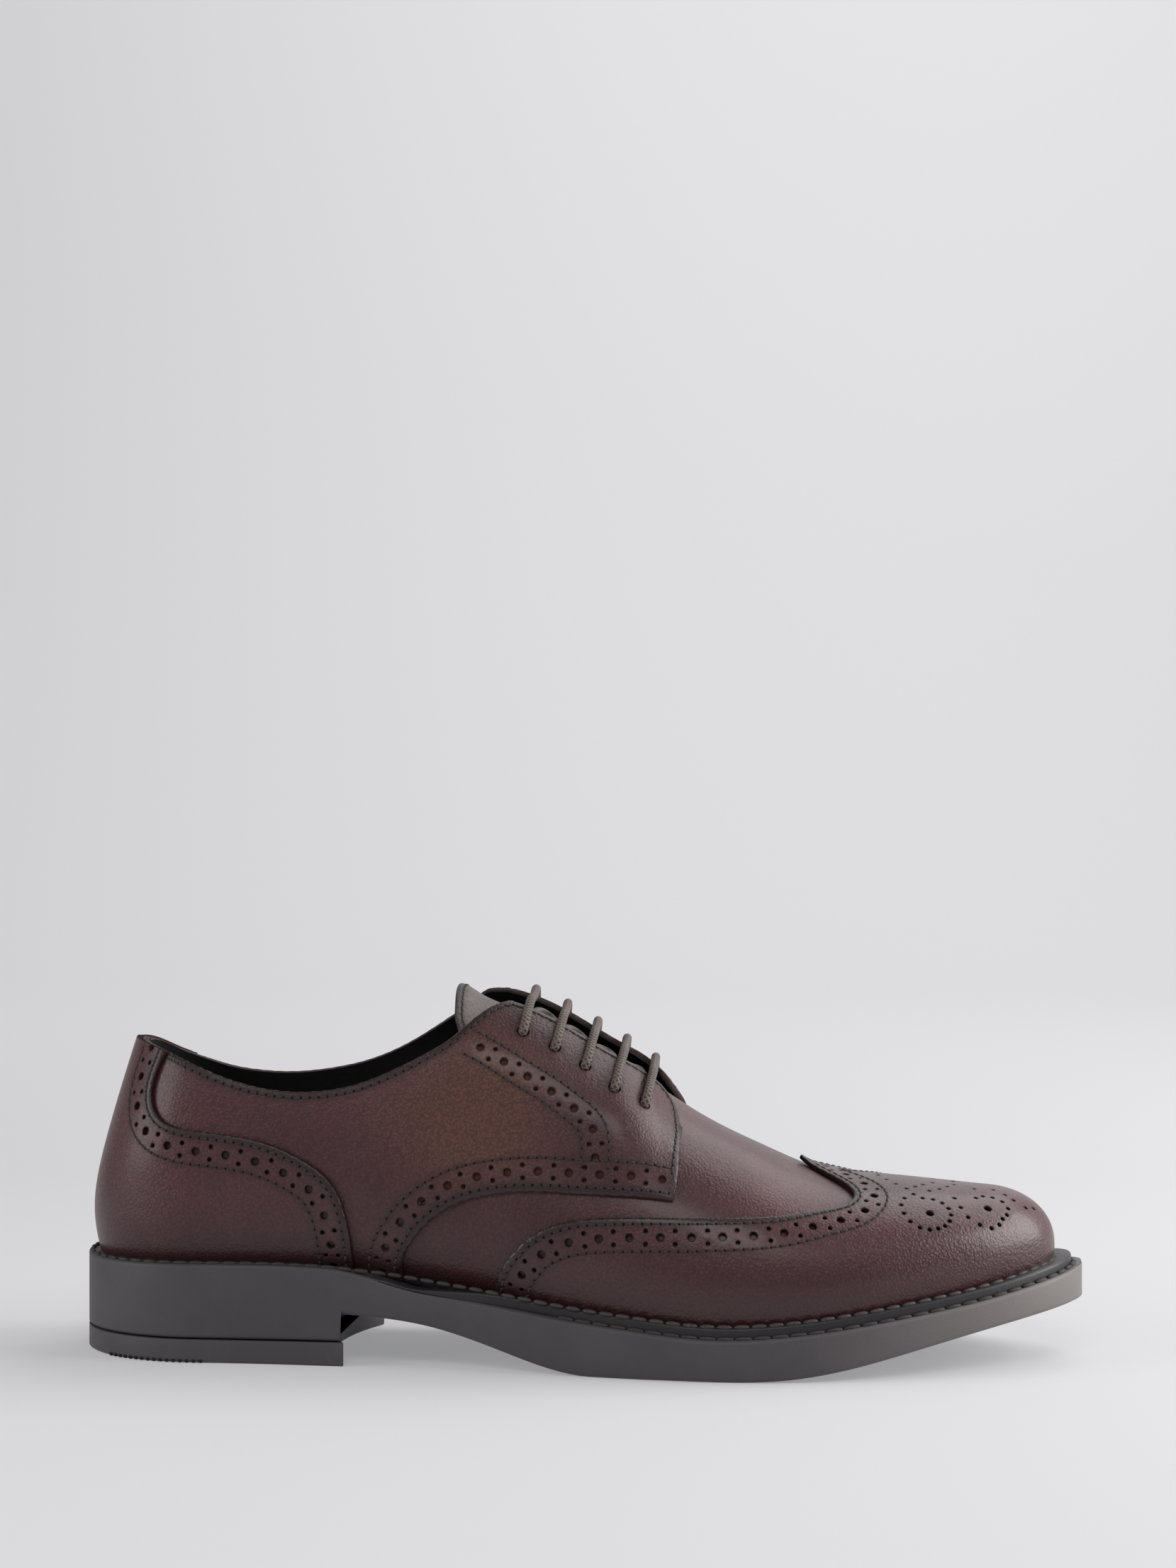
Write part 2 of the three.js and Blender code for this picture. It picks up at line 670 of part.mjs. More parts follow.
const wingCap = lastForm(gap + overlayThickness)
  .subtract(lastForm(gap))
  .intersect(wingRegion())
  .intersect(aboveSeat);
const counterInner = quarterProud + gap;
const heelCounter = lastForm(quarterGrowth(counterInner + overlayThickness))
  .subtract(lastForm(quarterGrowth(counterInner)))
  .intersect(counterRegion())
  .subtract(collarCutter())
  .intersect(aboveSeat);

// Tongue: a sheet on the last, tucked under the vamp at its front

function tongueRegion() {
  const steps = 24;
  const [from, to] = [tongueStations[0].at, tongueStations.at(-1).at];
  const row = (side) => {
    const points = [];
    for (let i = 0; i <= steps; i++) {
      const at = from + (to - from) * (i / steps) ** 1.5;
      points.push(new THREE.Vector2(xAt(at), side * tongueCurves.half(at) * ballWidth));
    }
    return points;
  };
  return planPrism(new THREE.Shape([...row(-1), ...row(1).reverse()]), 30, wideReach);
}
const tongueLie = (along) => tongueCurves.lie(along);
const tongue = lastForm(tongueLie)
  .subtract(lastForm((along) => tongueLie(along) - tongueThickness))
  .intersect(tongueRegion());

// Lace: one end runs up under the outer facing, then straight bars over the throat climb from the lowest
// eyelets to the highest, joined by crossings under the facings.

// The path passes through its points at equal steps, so that the tight bends in the eyelets keep their rings.
class LacePath extends THREE.CatmullRomCurve3 {
  getPointAt(share, target) {
    return this.getPoint(share, target);
  }
  getTangentAt(share, target) {
    return this.getTangent(share, target);
  }
}

function lacePath() {
  const radius = laceDiameter / 2;
  const over = radius + gap + 0.3;
  const under = -(quarterWall + gap + radius);
  const middle = -quarterWall / 2;
  const passage = [
    { inward: 2.2, height: under },
    { inward: 0.3, height: under + 0.9 },
    { inward: 0, height: middle },
    { inward: 0.3, height: over - 0.9 },
    { inward: 2.2, height: over },
  ];
  const through = (along, side) => {
    const inset = eyeletInset(along) * ballWidth;
    const ends = passage.map(({ inward, height }) => facingPoint(along, side, inward, height));
    const rest = [0.35, 0.55, 0.78, 1].map((share) => facingPoint(along, side, share * inset, over));
    return [...ends, ...rest];
  };
  const points = [];
  const lowest = eyelets.length - 1;
  for (let i = 0; i <= lowest; i++) {
    points.push(facingPoint(eyelets[i].along, -1, -runOffset, under));
  }
  for (let i = lowest; i >= 0; i--) {
    const lateral = through(eyelets[i].along, -1);
    const medial = through(eyelets[i].along + laceSlant, 1).reverse();
    if (i === lowest) lateral[0] = facingPoint(eyelets[i].along, -1, -1.5, under);
    const crown = lateral.at(-1).clone().lerp(medial[0], 0.5);
    points.push(...lateral, crown.setZ(crown.z + laceCrown), ...medial);
    if (i === 0) continue;
    for (const share of [0.2, 0.35, 0.5, 0.65, 0.8]) {
      const along = THREE.MathUtils.lerp(eyelets[i].along + laceSlant, eyelets[i - 1].along, share);
      points.push(facingOffset(along, 0.28 * (1 - 2 * share), under + 0.2));
    }
  }
  return new LacePath(points, false, "centripetal");
}

function laceGeometry() {
  const sides = 6;
  const circle = new THREE.Shape();
  for (let k = 0; k < sides; k++) {
    const angle = (2 * Math.PI * k) / sides;
    const [x, y] = [Math.cos(angle), Math.sin(angle)].map((part) => (part * laceDiameter) / 2);
    if (k === 0) circle.moveTo(x, y);
    else circle.lineTo(x, y);
  }
  const path = lacePath();
  const steps = path.points.length - 1;
  return mergeVertices(bareCopy(new THREE.ExtrudeGeometry(circle, { steps, extrudePath: path })), 1e-4);
}

// Assembly

const finishes = {
  upper: { color: 0x4a2c2c, roughness: 0.42, metalness: 0 },
  wing_cap: { color: 0x4a2c2c, roughness: 0.4, metalness: 0 },
  heel_counter: { color: 0x4a3032, roughness: 0.42, metalness: 0 },
  tongue: { color: 0x75665f, roughness: 0.6, metalness: 0 },
  lace: { color: 0x5b4b44, roughness: 0.75, metalness: 0 },
  insole: { color: 0x0b0a0a, roughness: 0.8, metalness: 0 },
  welt: { color: 0x2a2628, roughness: 0.5, metalness: 0 },
  outsole: { color: 0x3b3636, roughness: 0.6, metalness: 0 },
  heel_lift: { color: 0x3b3636, roughness: 0.6, metalness: 0 },
};

function geometryOf(solid) {
  const { vertProperties, triVerts, numProp } = solid.getMesh();
  const count = vertProperties.length / numProp;
  const position = new Float32Array(count * 3);
  for (let i = 0; i < count; i++) position.set(vertProperties.subarray(i * numProp, i * numProp + 3), i * 3);
  const geometry = new THREE.BufferGeometry();
  geometry.setAttribute("position", new THREE.BufferAttribute(position, 3));
  geometry.setIndex(new THREE.BufferAttribute(triVerts, 1));
  return geometry;
}

const pieces = {
  outsole: geometryOf(outsole),
  heel_lift: geometryOf(heelLift),
  welt: geometryOf(welt),
  insole: geometryOf(insole),
  upper: geometryOf(upper),
  wing_cap: geometryOf(wingCap),
  heel_counter: geometryOf(heelCounter),
  tongue: geometryOf(tongue),
  lace: laceGeometry(),
};

const shoe = new THREE.Group();
for (const [name, geometry] of Object.entries(pieces)) {
  const mesh = new THREE.Mesh(geometry, new THREE.MeshStandardMaterial(finishes[name]));
  mesh.name = name;
  shoe.add(mesh);
}

// The origin is the middle of the sole's rectangle, on the floor.
const footprint = new THREE.Box2().setFromPoints(soleOutline(0));
const centre = footprint.getCenter(new THREE.Vector2());
shoe.position.set(-centre.x, -centre.y, 0);

export default new THREE.Group().add(shoe);
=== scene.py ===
import math

import bpy
import numpy as np
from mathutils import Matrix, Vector, geometry
from mathutils.kdtree import KDTree


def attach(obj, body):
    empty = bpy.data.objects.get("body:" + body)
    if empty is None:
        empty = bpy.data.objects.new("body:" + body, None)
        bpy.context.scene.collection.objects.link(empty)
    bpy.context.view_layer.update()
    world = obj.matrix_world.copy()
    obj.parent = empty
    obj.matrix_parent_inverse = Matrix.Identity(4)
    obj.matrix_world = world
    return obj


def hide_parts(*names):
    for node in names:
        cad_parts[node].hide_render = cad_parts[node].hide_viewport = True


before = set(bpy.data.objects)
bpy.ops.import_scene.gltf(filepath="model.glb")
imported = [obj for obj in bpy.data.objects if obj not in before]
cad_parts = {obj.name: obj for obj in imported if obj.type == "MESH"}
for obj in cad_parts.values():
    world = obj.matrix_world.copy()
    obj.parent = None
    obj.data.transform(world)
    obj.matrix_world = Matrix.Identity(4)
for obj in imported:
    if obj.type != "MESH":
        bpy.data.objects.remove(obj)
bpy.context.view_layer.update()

# Brogue derby shoe for the right foot. Lengths are millimetres of the shoe's own frame until a mesh is made.
MM = 0.001

# Driving sizes of the last
LAST_LENGTH = 290
BALL_WIDTH = 89
INSTEP_HEIGHT = 80
HEEL_ROUNDNESS = 36
TOE_ROUNDNESS = 78
TOE_DOME = 19
TOE_FRONT = 0.3
HEEL_LEAN = 0.32
HEEL_CURVE = 4
LEAN_REACH = 80
WALL_SHARE = 0.22
HEEL_FULLNESS = 2.1
TOE_FULLNESS = 2.15
TOE_DOME_FULLNESS = 2.3

# Driving sizes of the leather and the lace
VAMP_WALL = 1.8
QUARTER_PROUD = 1.5
QUARTER_WALL = 2.1
OVERLAY = 1.4
FACING_LIFT = 6.5
LIFT_RISE = (0.28, 0.42)
LIFT_FALL = (0.55, 0.63)
LIFT_CLIMB = (0.4, 0.66)
TONGUE_THICKNESS = 2
LACE_DIAMETER = 2.8
LACE_SLANT = -0.006

# Driving sizes of the bottom
HEEL_HEIGHT = 29.5
BALL_RIM = 15.2
TOE_RIM = 32.8
ARCH_HEIGHT = 15.2
TOE_SPRING = 17.8
HEEL_MARGIN = 5
TOE_MARGIN = 11
LIFT_THICKNESS = 7
BREAST_FROM_BACK = 85.5
BREAST_HOLLOW = 8
WELT_THICKNESS = 2.9
WELT_START = 95
LEDGE_WIDTH = 3.2
INSOLE_THICKNESS = 2.5
GAP = 0.3
SOLE_LENGTH = HEEL_MARGIN + LAST_LENGTH + TOE_MARGIN

# Stitching and punching, measured from a panel's cut edge
FIRST_ROW = 1.9
BAND_MIDDLE = 5.9
SECOND_ROW = 9.9
STITCH_PITCH = 2.7
PRICK_RADIUS = 0.5
BIG_HOLE = 1.15
SMALL_HOLE = 0.6
BIG_HOLE_PITCH = 9.0
SMALL_HOLE_ACROSS = 1.9
EYELET_RADIUS = 1.75

# Stitches and tread ribs: length, width and height
UPPER_STITCH = (1.85, 0.8, 0.62)
RIM_STITCH = (4.3, 1.5, 1.5)
LEDGE_STITCH = (4.9, 1.9, 1.3)
TREAD_RIB = (1.3, 1.5, 1.1)
RIM_PITCH = 5.0
LEDGE_PITCH = 5.3
TREAD_PITCH = 2.1

# Sides of the punched holes
HOLE_SIDES = 12
SMALL_HOLE_SIDES = 8
EYELET_SIDES = 16

# How the panels are cut: rounding of cut edges and holes, and where the mesh follows them, from the cut
EDGE_RADIUS = 0.6
HOLE_EDGE_RADIUS = 0.38
EDGE_ROWS = (0.22, 0.65)
HOLE_ROWS = (0, 0.2, 0.6)
PRICK_SIDES = 6
PRICK_DEPTH = 0.5
# How far from a cut edge the leather darkens, partly burnished stain and partly painted shade
DARK_EDGE_WIDTH = 5.0

# The feather line, where the panels turn under, as a share of the climb, and the toe's last place
FEATHER = 0.008
TOE_END = 1 - 1e-9

# The side chart in millimetres, along and up, near enough to measure distances on it
SIDE_CHART_SIZE = (455, 110)

# The last's sections from heel to toe, as shares of its length, ball width and instep height
SECTIONS = {
    "at": (0, .15, .25, .34, .42, .475, .53, .575, .625, .7, .76, .84, .92, 1),
    "axis": (0, 0, .005, .018, .028, .03, .028, .024, .014, .006, .01, .024, .05, .08),
    "lateral": (.354, .354, .371, .408, .446, .476, .502, .519, .526, .518, .497, .458, .43, .41),
    "medial": (.354, .354, .343, .32, .312, .328, .364, .403, .446, .484, .484, .45, .41, .38),
    "height": (1.056, 1.058, 1.062, 1.082, 1.094, 1.04, .942, .864, .765, .63, .52, .434, .356, .275),
    "bulge": (.16, .16, .17, .19, .2, .2, .2, .2, .21, .24, .26, .3, .34, .38),
    "tuck": (.045, .045, .055, .07, .07, .06, .05, .045, .04, .035, .03, .03, .03, .03),
    "full": (2.2, 2.2, 2.2, 2.15, 2.05, 2, 1.95, 1.95, 2, 2.05, 2.1, 2.2, 2.3, 2.3),
}

# The sole's stations, as shares of its length. The last row is its reach past the last.
SOLE = {
    "at": (0, .14, .285, .363, .435, .503, .572, .637, .706, .771, .837, .905, .96, 1),
    "heel": (.98, 1, .925, .712, .49, .275, .11, 0, 0, 0, 0, 0, 0, 0),
    "toe": (0, 0, 0, 0, 0, 0, 0, 0, .05, .18, .355, .565, .775, .93),
    "arch": (1.1, 1.08, 1, .82, .4, .03, 0, 0, 0, 0, 0, 0, 0, 0),
    "spring": (0, 0, 0, 0, 0, 0, 0, 0, .03, .2, .475, .75, .93, 1.04),
    "margin": (4.8, 4.8, 4.2, 3.8, 4, 4.8, 5.6, 6.2, 6.4, 6.6, 7.2, 8.4, 9.8, 11),
}

# Edges in side view: along the last, up above the rim, and how much higher the collar's inner side lies
COLLAR = (
    (0, .835, 0), (.034, .822, -.004), (.058, .806, -.045), (.087, .775, -.066), (.1177, .73, -.059),
    (.1464, .69, -.036), (.1747, .66, -.012), (.2027, .644, .01), (.2305, .642, .029),
    (.2582, .655, .043), (.2855, .684, .056), (.3126, .731, .067), (.3536, .824, .087),
    (.387, .916, .1), (.4044, .981, .085), (.4189, 1.029, .048), (.4308, 1.055, .03),
    (.443, 1.072, .02), (.464, 1.1, .02),
)
QUARTER_LOWER = (
    (.3343, .026), (.3385, .081), (.3469, .137), (.3588, .2), (.3725, .25), (.3941, .308),
    (.4175, .347), (.4527, .387), (.4916, .412), (.5301, .425), (.5685, .437), (.5991, .442),
    (.6161, .44),
)
QUARTER_FRONT = (
    (.6193, .497), (.6206, .585), (.6213, .659), (.621, .718), (.6185, .76),
)
COUNTER = (
    (.083, .83), (.0772, .76), (.0716, .706), (.0675, .638), (.0698, .581), (.0799, .534),
    (.0967, .507), (.1308, .488), (.1669, .471), (.2059, .435), (.2338, .39), (.2561, .338),
    (.2701, .274), (.2771, .208), (.2823, .122), (.2835, .029),
)

# The wing's edge, climbing from the feather line at 0 to the ridge at 1
WING = {
    "at": (0, .078, .124, .179, .235, .269, .309, .348, .384, .418, .463, .501, .548, .602, .655, .7,
        .737, .782, .842, .926, 1),
    "along": (.432, .4357, .4402, .4484, .4621, .4776, .5006, .5312, .5694, .6071, .6557, .6967, .7301,
        .7563, .784, .7945, .7967, .7938, .7838, .7612, .7372),
}

# Half widths in plan of the throat and of the tongue, with how far the tongue lies off the last
THROAT = {
    "at": (.36, .42, .46, .545, .57, .588, .6, .61, .616, .619),
    "half": (.2, .194, .188, .184, .178, .152, .132, .145, .18, .24),
}
TONGUE = {
    "at": (.383, .39, .402, .418, .45, .51, .555, .6, .66),
    "half": (.2, .24, .26, .268, .265, .25, .235, .21, .2),
    "lie": (2.2, 1.3, -.4, -1.6, -2, -2, -2.3, -2.3, -2.3),
}
EYELETS = {
    "at": (.4512, .4817, .5125, .545, .5768),
    "from_edge": (.096, .104, .113, .136, .131),
}


def curve_through(knots, values):
    """Natural cubic spline as a function."""
    x = np.array(knots, float)
    y = np.array(values, float)
    count = len(x)
    span = np.diff(x)
    system = np.eye(count)
    turn = np.zeros(count)
    for i in range(1, count - 1):
        system[i, i - 1 : i + 2] = span[i - 1], 2 * (span[i - 1] + span[i]), span[i]
        turn[i] = 6 * ((y[i + 1] - y[i]) / span[i] - (y[i] - y[i - 1]) / span[i - 1])
    bend = np.linalg.solve(system, turn)

    def value(at):
        t = np.clip(at, x[0], x[-1])
        i = np.clip(np.searchsorted(x, t), 1, count - 1)
        width = x[i] - x[i - 1]
        a = (x[i] - t) / width
        b = 1 - a
        curl = ((a**3 - a) * bend[i - 1] + (b**3 - b) * bend[i]) * width**2 / 6
        return a * y[i - 1] + b * y[i] + curl

    return value


def quick_curve(knots, values):
    """The same curve, read from a fine row of its values."""
    curve = curve_through(knots, values)
    at = np.linspace(knots[0], knots[-1], 20001)
    height = curve(at)
    return lambda wanted: np.interp(wanted, at, height)


def curves_of(table):
    return {name: quick_curve(table["at"], row) for name, row in table.items() if name != "at"}


last = curves_of(SECTIONS)
sole = curves_of(SOLE)
wing_along = curves_of(WING)["along"]
throat_half = curves_of(THROAT)["half"]
tongue_half = curves_of(TONGUE)["half"]
tongue_lie = curves_of(TONGUE)["lie"]
eyelet_inset = curves_of(EYELETS)["from_edge"]


def smooth_step(value, low, high):
    t = np.clip((value - low) / (high - low), 0, 1)
    return t * t * (3 - 2 * t)


def rounded_end(distance, radius, power):
    return (1 - np.maximum(0, 1 - distance / radius) ** power) ** (1 / power)


def rim_height(x):
    at = x / SOLE_LENGTH
    return BALL_RIM + sole["heel"](at) * (HEEL_HEIGHT - BALL_RIM) + sole["toe"](at) * (TOE_RIM - BALL_RIM)


def seat_height(x):
    return rim_height(x) - (WELT_THICKNESS + GAP) * smooth_step(x, WELT_START - 15, WELT_START + 15)


def underside_height(x):
    at = x / SOLE_LENGTH
    return np.maximum(0, sole["arch"](at) * ARCH_HEIGHT + sole["spring"](at) * TOE_SPRING)


def last_point(along, around):
    """Points of the last: along from heel 0 to toe 1, around from -1, outer, over the ridge 0 to 1, inner."""
    along, around = np.broadcast_arrays(np.asarray(along, float), np.asarray(around, float))
    from_heel = along * LAST_LENGTH
    from_toe = LAST_LENGTH - from_heel
    side = np.where(around < 0, -1.0, 1.0)
    climb = 1 - np.abs(around)
    ends = rounded_end(from_heel, HEEL_ROUNDNESS, HEEL_FULLNESS)
    ends = ends * rounded_end(from_toe, TOE_ROUNDNESS, TOE_FULLNESS)
    half = BALL_WIDTH * np.where(side < 0, last["lateral"](along), last["medial"](along)) * ends
    height = INSTEP_HEIGHT * last["height"](along)
    dome = rounded_end(from_toe, TOE_DOME, TOE_DOME_FULLNESS)
    height = height * (TOE_FRONT + (1 - TOE_FRONT) * dome)
    bulge = height * last["bulge"](along)
    share = climb / WALL_SHARE
    low = climb < WALL_SHARE
    wall_out = half - BALL_WIDTH * last["tuck"](along) * ends * (1 - np.minimum(share, 1)) ** 2
    angle = np.clip((climb - WALL_SHARE) / (1 - WALL_SHARE), 0, 1) * math.pi / 2
    power = 2 / last["full"](along)
    dome_out = half * np.maximum(0, np.cos(angle)) ** power
    dome_up = bulge + (height - bulge) * np.maximum(0, np.sin(angle)) ** power
    out = np.where(low, wall_out, dome_out)
    up = np.where(low, bulge * share, dome_up)
    lean_share = np.maximum(0, 1 - from_heel / LEAN_REACH) ** 2
    lean = (np.hypot(HEEL_LEAN * (up - bulge), HEEL_CURVE) - HEEL_CURVE) * lean_share
    x = HEEL_MARGIN + from_heel
    y = BALL_WIDTH * last["axis"](along) + side * out
    return np.stack([x + lean, y, seat_height(x) + up], -1)


def unit(vectors):
    return vectors / np.maximum(np.linalg.norm(vectors, axis=-1, keepdims=True), 1e-12)


def last_normal(along, around):
    step = 1e-4
    along, around = np.broadcast_arrays(np.asarray(along, float), np.asarray(around, float))
    at_end = (along < step) | (along > 1 - step)
    inside = np.clip(along, step, 1 - step)

    def normal(turn):
        low = np.maximum(turn - step, -1)
        high = np.minimum(turn + step, 1)
        forward = last_point(inside + step / 2, turn) - last_point(inside - step / 2, turn)
        across = last_point(inside, high) - last_point(inside, low)
        return unit(np.cross(forward, across))

    here = normal(around)
    both = here + normal(-around)
    both[..., 1] = 0
    return np.where(at_end[..., None], unit(both), here)


def lift_at(along, around):
    """How far the facings stand off the last, over the tongue and the lace's crossings."""
    share = smooth_step(along, *LIFT_RISE) * (1 - smooth_step(along, *LIFT_FALL))
    return FACING_LIFT * share * smooth_step(1 - np.abs(around), *LIFT_CLIMB)


def plain_growth(amount):
    return lambda along, around: np.full(np.shape(along), float(amount))


def quarter_growth(amount):
    return lambda along, around: amount + lift_at(along, around)


# Flat charts of the last, on which the panels are cut. Both bend the length so that the ends open up.
def along_of(p):
    return (1 - np.cos(math.pi * np.asarray(p))) / 2


def share_of(along):
    return np.arccos(1 - 2 * np.asarray(along)) / math.pi


def top_chart(spot):
    """First how far towards the toe, then around."""
    return along_of(spot[..., 0]), spot[..., 1]


def side_chart(spot):
    """First how far from the back line, negative on the outer side, then the climb."""
    return along_of(np.abs(spot[..., 0])), np.where(spot[..., 0] < 0, -1, 1) * (1 - spot[..., 1])


def on_form(chart, spot, growth):
    along, around = chart(spot)
    return last_point(along, around) + last_normal(along, around) * growth(along, around)[..., None]


def axes_on(chart, spot, growth):
    """The two directions of the chart on the form, and the form's outward normal."""
    step = 2e-4
    sides = []
    for shift in ((step, 0), (0, step)):
        ahead = on_form(chart, spot + np.array(shift), growth)
        behind = on_form(chart, spot - np.array(shift), growth)
        sides.append((ahead - behind) / (2 * step))
    normal = unit(np.cross(sides[0], sides[1]))
    outward = last_normal(*chart(spot))
    turn = np.sign(np.sum(normal * outward, -1, keepdims=True))
    return sides[0], sides[1], normal * turn


def chart_step(axes, move):
    """The change of chart coordinates that makes a small move on the form."""
    a, b = axes[0], axes[1]
    aa, ab, bb = (a * a).sum(-1), (a * b).sum(-1), (b * b).sum(-1)
    am, bm = (a * move).sum(-1), (b * move).sum(-1)
    det = aa * bb - ab * ab
    return np.stack([(bb * am - ab * bm) / det, (aa * bm - ab * am) / det], -1)


def offset_line(chart, line, distance, growth, steps=None):
    """A line on the form, moved sideways over it: to its left, seen from outside, for a positive distance."""
    steps = steps or max(1, int(abs(distance) / 0.8))
    spot = np.array(line, float)
    points = on_form(chart, spot, growth)
    ahead = unit(np.gradient(points, axis=0))
    normal = axes_on(chart, spot, growth)[2]
    heading = unit(np.cross(normal, ahead)) * math.copysign(1, distance)
    for _ in range(steps):
        axes = axes_on(chart, spot, growth)
        heading = unit(heading - axes[2] * (heading * axes[2]).sum(-1, keepdims=True))
        spot = spot + chart_step(axes, heading * abs(distance) / steps)
    return spot


def length_along(points):
    return np.concatenate([[0], np.cumsum(np.linalg.norm(np.diff(points, axis=0), axis=1))])


def points_at(line, run, at):
    """The points of a line where its run has the values at."""
    return np.stack([np.interp(at, run, column) for column in line.T], -1)


def spaced(chart, line, growth, pitch, start=0.0, finish=0.0):
    """Points at an even pitch along a line on the form, leaving start before them and finish after them."""
    run = length_along(on_form(chart, line, growth))
    length = run[-1] - start - finish
    count = max(2, int(round(length / pitch)) + 1)
    return points_at(line, run, start + np.linspace(0, length, count))


def find_on_form(chart, wanted, axes, growth, low, high):
    """Chart coordinates whose form point has the wanted values on two of its three axes."""
    columns, rows, rounds, longest_move = 150, 90, 14, 0.03
    wanted = np.array(wanted, float)
    grid = np.meshgrid(np.linspace(low[0], high[0], columns), np.linspace(low[1], high[1], rows))
    grid = np.stack(grid, -1).reshape(-1, 2)
    flat = on_form(chart, grid, growth)[:, axes]
    distance = ((flat[None] - wanted[:, None]) ** 2).sum(-1)
    spot = grid[distance.argmin(1)]
    for _ in range(rounds):
        miss = wanted - on_form(chart, spot, growth)[:, axes]
        a, b, _n = axes_on(chart, spot, growth)
        a, b = a[:, axes], b[:, axes]
        det = a[:, 0] * b[:, 1] - a[:, 1] * b[:, 0]
        det = np.where(np.abs(det) < 1e-6, 1e-6, det)
        move = np.stack([b[:, 1] * miss[:, 0] - b[:, 0] * miss[:, 1],
                         a[:, 0] * miss[:, 1] - a[:, 1] * miss[:, 0]], -1) / det[:, None]
        spot = np.clip(spot + np.clip(move, -longest_move, longest_move), low, high)
    return spot


def curve_at(points, run, at):
    """The points of a smooth curve where its run has the values at."""
    return np.stack([curve_through(run, column)(at) for column in points.T], -1)


def even_run(run, pitch):
    return np.linspace(0, run[-1], max(3, int(run[-1] / pitch) + 1))


def smooth_line(points, pitch=0.8):
    """An even line through a few points."""
    points = np.array(points, float)
    run = length_along(points)
    return curve_at(points, run, even_run(run, pitch))


def even_line(points, pitch=0.3):
    """The same line with points at an even pitch."""
    run = length_along(points)
    return points_at(points, run, even_run(run, pitch))


def tidy_outline(chart, outline, growth):
    """A closed outline without points that fall together."""
    smallest = 0.12
    points = on_form(chart, outline, growth)
    kept = [0]
    for i in range(1, len(points)):
        if np.linalg.norm(points[i] - points[kept[-1]]) > smallest:
            kept.append(i)
    if np.linalg.norm(points[kept[-1]] - points[0]) < smallest:
        kept.pop()
    return outline[kept]


def side_view(edge):
    """An edge given by along and up, as x and z in side view."""
    rows = np.array([row[:2] for row in edge], float)
    x = HEEL_MARGIN + rows[:, 0] * LAST_LENGTH
    return np.stack([x, rim_height(x) + rows[:, 1] * INSTEP_HEIGHT], -1)


def side_edge(edge, side, growth):
    """An edge drawn in side view as a line of the side chart, on the outer side, -1, or the inner, 1."""
    reach = 0.62
    low, high = ((-reach, FEATHER), (-0.0, 1.0)) if side < 0 else ((0.0, FEATHER), (reach, 1.0))
    wanted = smooth_line(side_view(edge))
    spot = find_on_form(side_chart, wanted, (0, 2), growth, low, high)
    met = np.abs(on_form(side_chart, spot, growth)[:, (0, 2)] - wanted).max(1) < 0.3
    return spot[met]


def from_back(line, edge, growth):
    """The line carried on to the middle of the back."""
    climb = np.linspace(0.3, 0.95, 600)
    back = on_form(side_chart, np.stack([np.zeros(600), climb], -1), growth)
    wanted = smooth_line(side_view(edge), 0.3)
    height = np.interp(back[:, 0], wanted[:, 0], wanted[:, 1])
    middle = climb[np.abs(back[:, 2] - height).argmin()]
    share = np.linspace(0, 1, 40)[:-1, None]
    first = line[0]
    bend = np.concatenate([share, 1 - (1 - share) ** 2], 1)
    return np.concatenate([np.array([[0.0, middle]]) + bend * (first - [0.0, middle]), line])


def inside_outline(points, outline):
    """Which points of a flat chart lie inside a closed outline."""
    x, y = outline[:, 0], outline[:, 1]
    next_x, next_y = np.roll(x, -1), np.roll(y, -1)
    rise = np.where(next_y == y, 1e-12, next_y - y)
    found = np.zeros(len(points), bool)
    for start in range(0, len(points), 4000):
        px = points[start : start + 4000, 0, None]
        py = points[start : start + 4000, 1, None]
        spans = (y > py) != (next_y > py)
        left = px < (next_x - x) * (py - y) / rise + x
        found[start : start + 4000] = (spans & left).sum(1) % 2 == 1
    return found


# Plan centre of the sole, which is the origin of the frame
def sole_outline(along, side, inset):
    around = side * (1 - WALL_SHARE) * np.ones_like(along)
    point = last_point(along, around)
    out = last_normal(along, around)
    out[..., 2] = 0
    out = unit(out)
    margin = sole["margin"](point[..., 0] / SOLE_LENGTH) - inset
    return (point + out * margin[..., None])[..., :2]


def plan_centre():
    along = along_of(np.linspace(0, 1, 33))
    both = np.concatenate([sole_outline(along, -1, 0), sole_outline(along, 1, 0)])
    return (both.min(0) + both.max(0)) / 2


centre = plan_centre()
shift = np.array([-centre[0], -centre[1], 0])


# Meshes and objects
def deselect():
    bpy.ops.object.select_all(action="DESELECT")


def piece_from(name, points, faces, materials, face_material=None, attributes=None, smooth_angle=40):
    """A piece from points in the shoe's millimetres."""
    mesh = bpy.data.meshes.new(name)
    mesh.from_pydata(((np.asarray(points) + shift) * MM).tolist(), [], [list(map(int, f)) for f in faces])
    for material in materials:
        mesh.materials.append(material)
    if face_material is not None:
        mesh.polygons.foreach_set("material_index", np.asarray(face_material, np.int32))
    for attribute, values in (attributes or {}).items():
        layer = mesh.attributes.new(attribute, "FLOAT", "POINT")
        layer.data.foreach_set("value", np.asarray(values, np.float32))
    mesh.validate()
    piece = bpy.data.objects.new(name, mesh)
    bpy.context.scene.collection.objects.link(piece)
    finish_piece(piece, smooth_angle)
    return piece


def finish_piece(piece, smooth_angle):
    """Doubles merged, faces smooth up to an angle, riding on the shoe's one body."""
    deselect()
    bpy.context.view_layer.objects.active = piece
    piece.select_set(True)
    bpy.ops.object.mode_set(mode="EDIT")
    bpy.ops.mesh.select_all(action="SELECT")
    bpy.ops.mesh.remove_doubles(threshold=1e-6)
    bpy.ops.mesh.delete_loose()
    bpy.ops.object.mode_set(mode="OBJECT")
    bpy.ops.object.shade_smooth_by_angle(angle=math.radians(smooth_angle))
    deselect()
    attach(piece, "root")


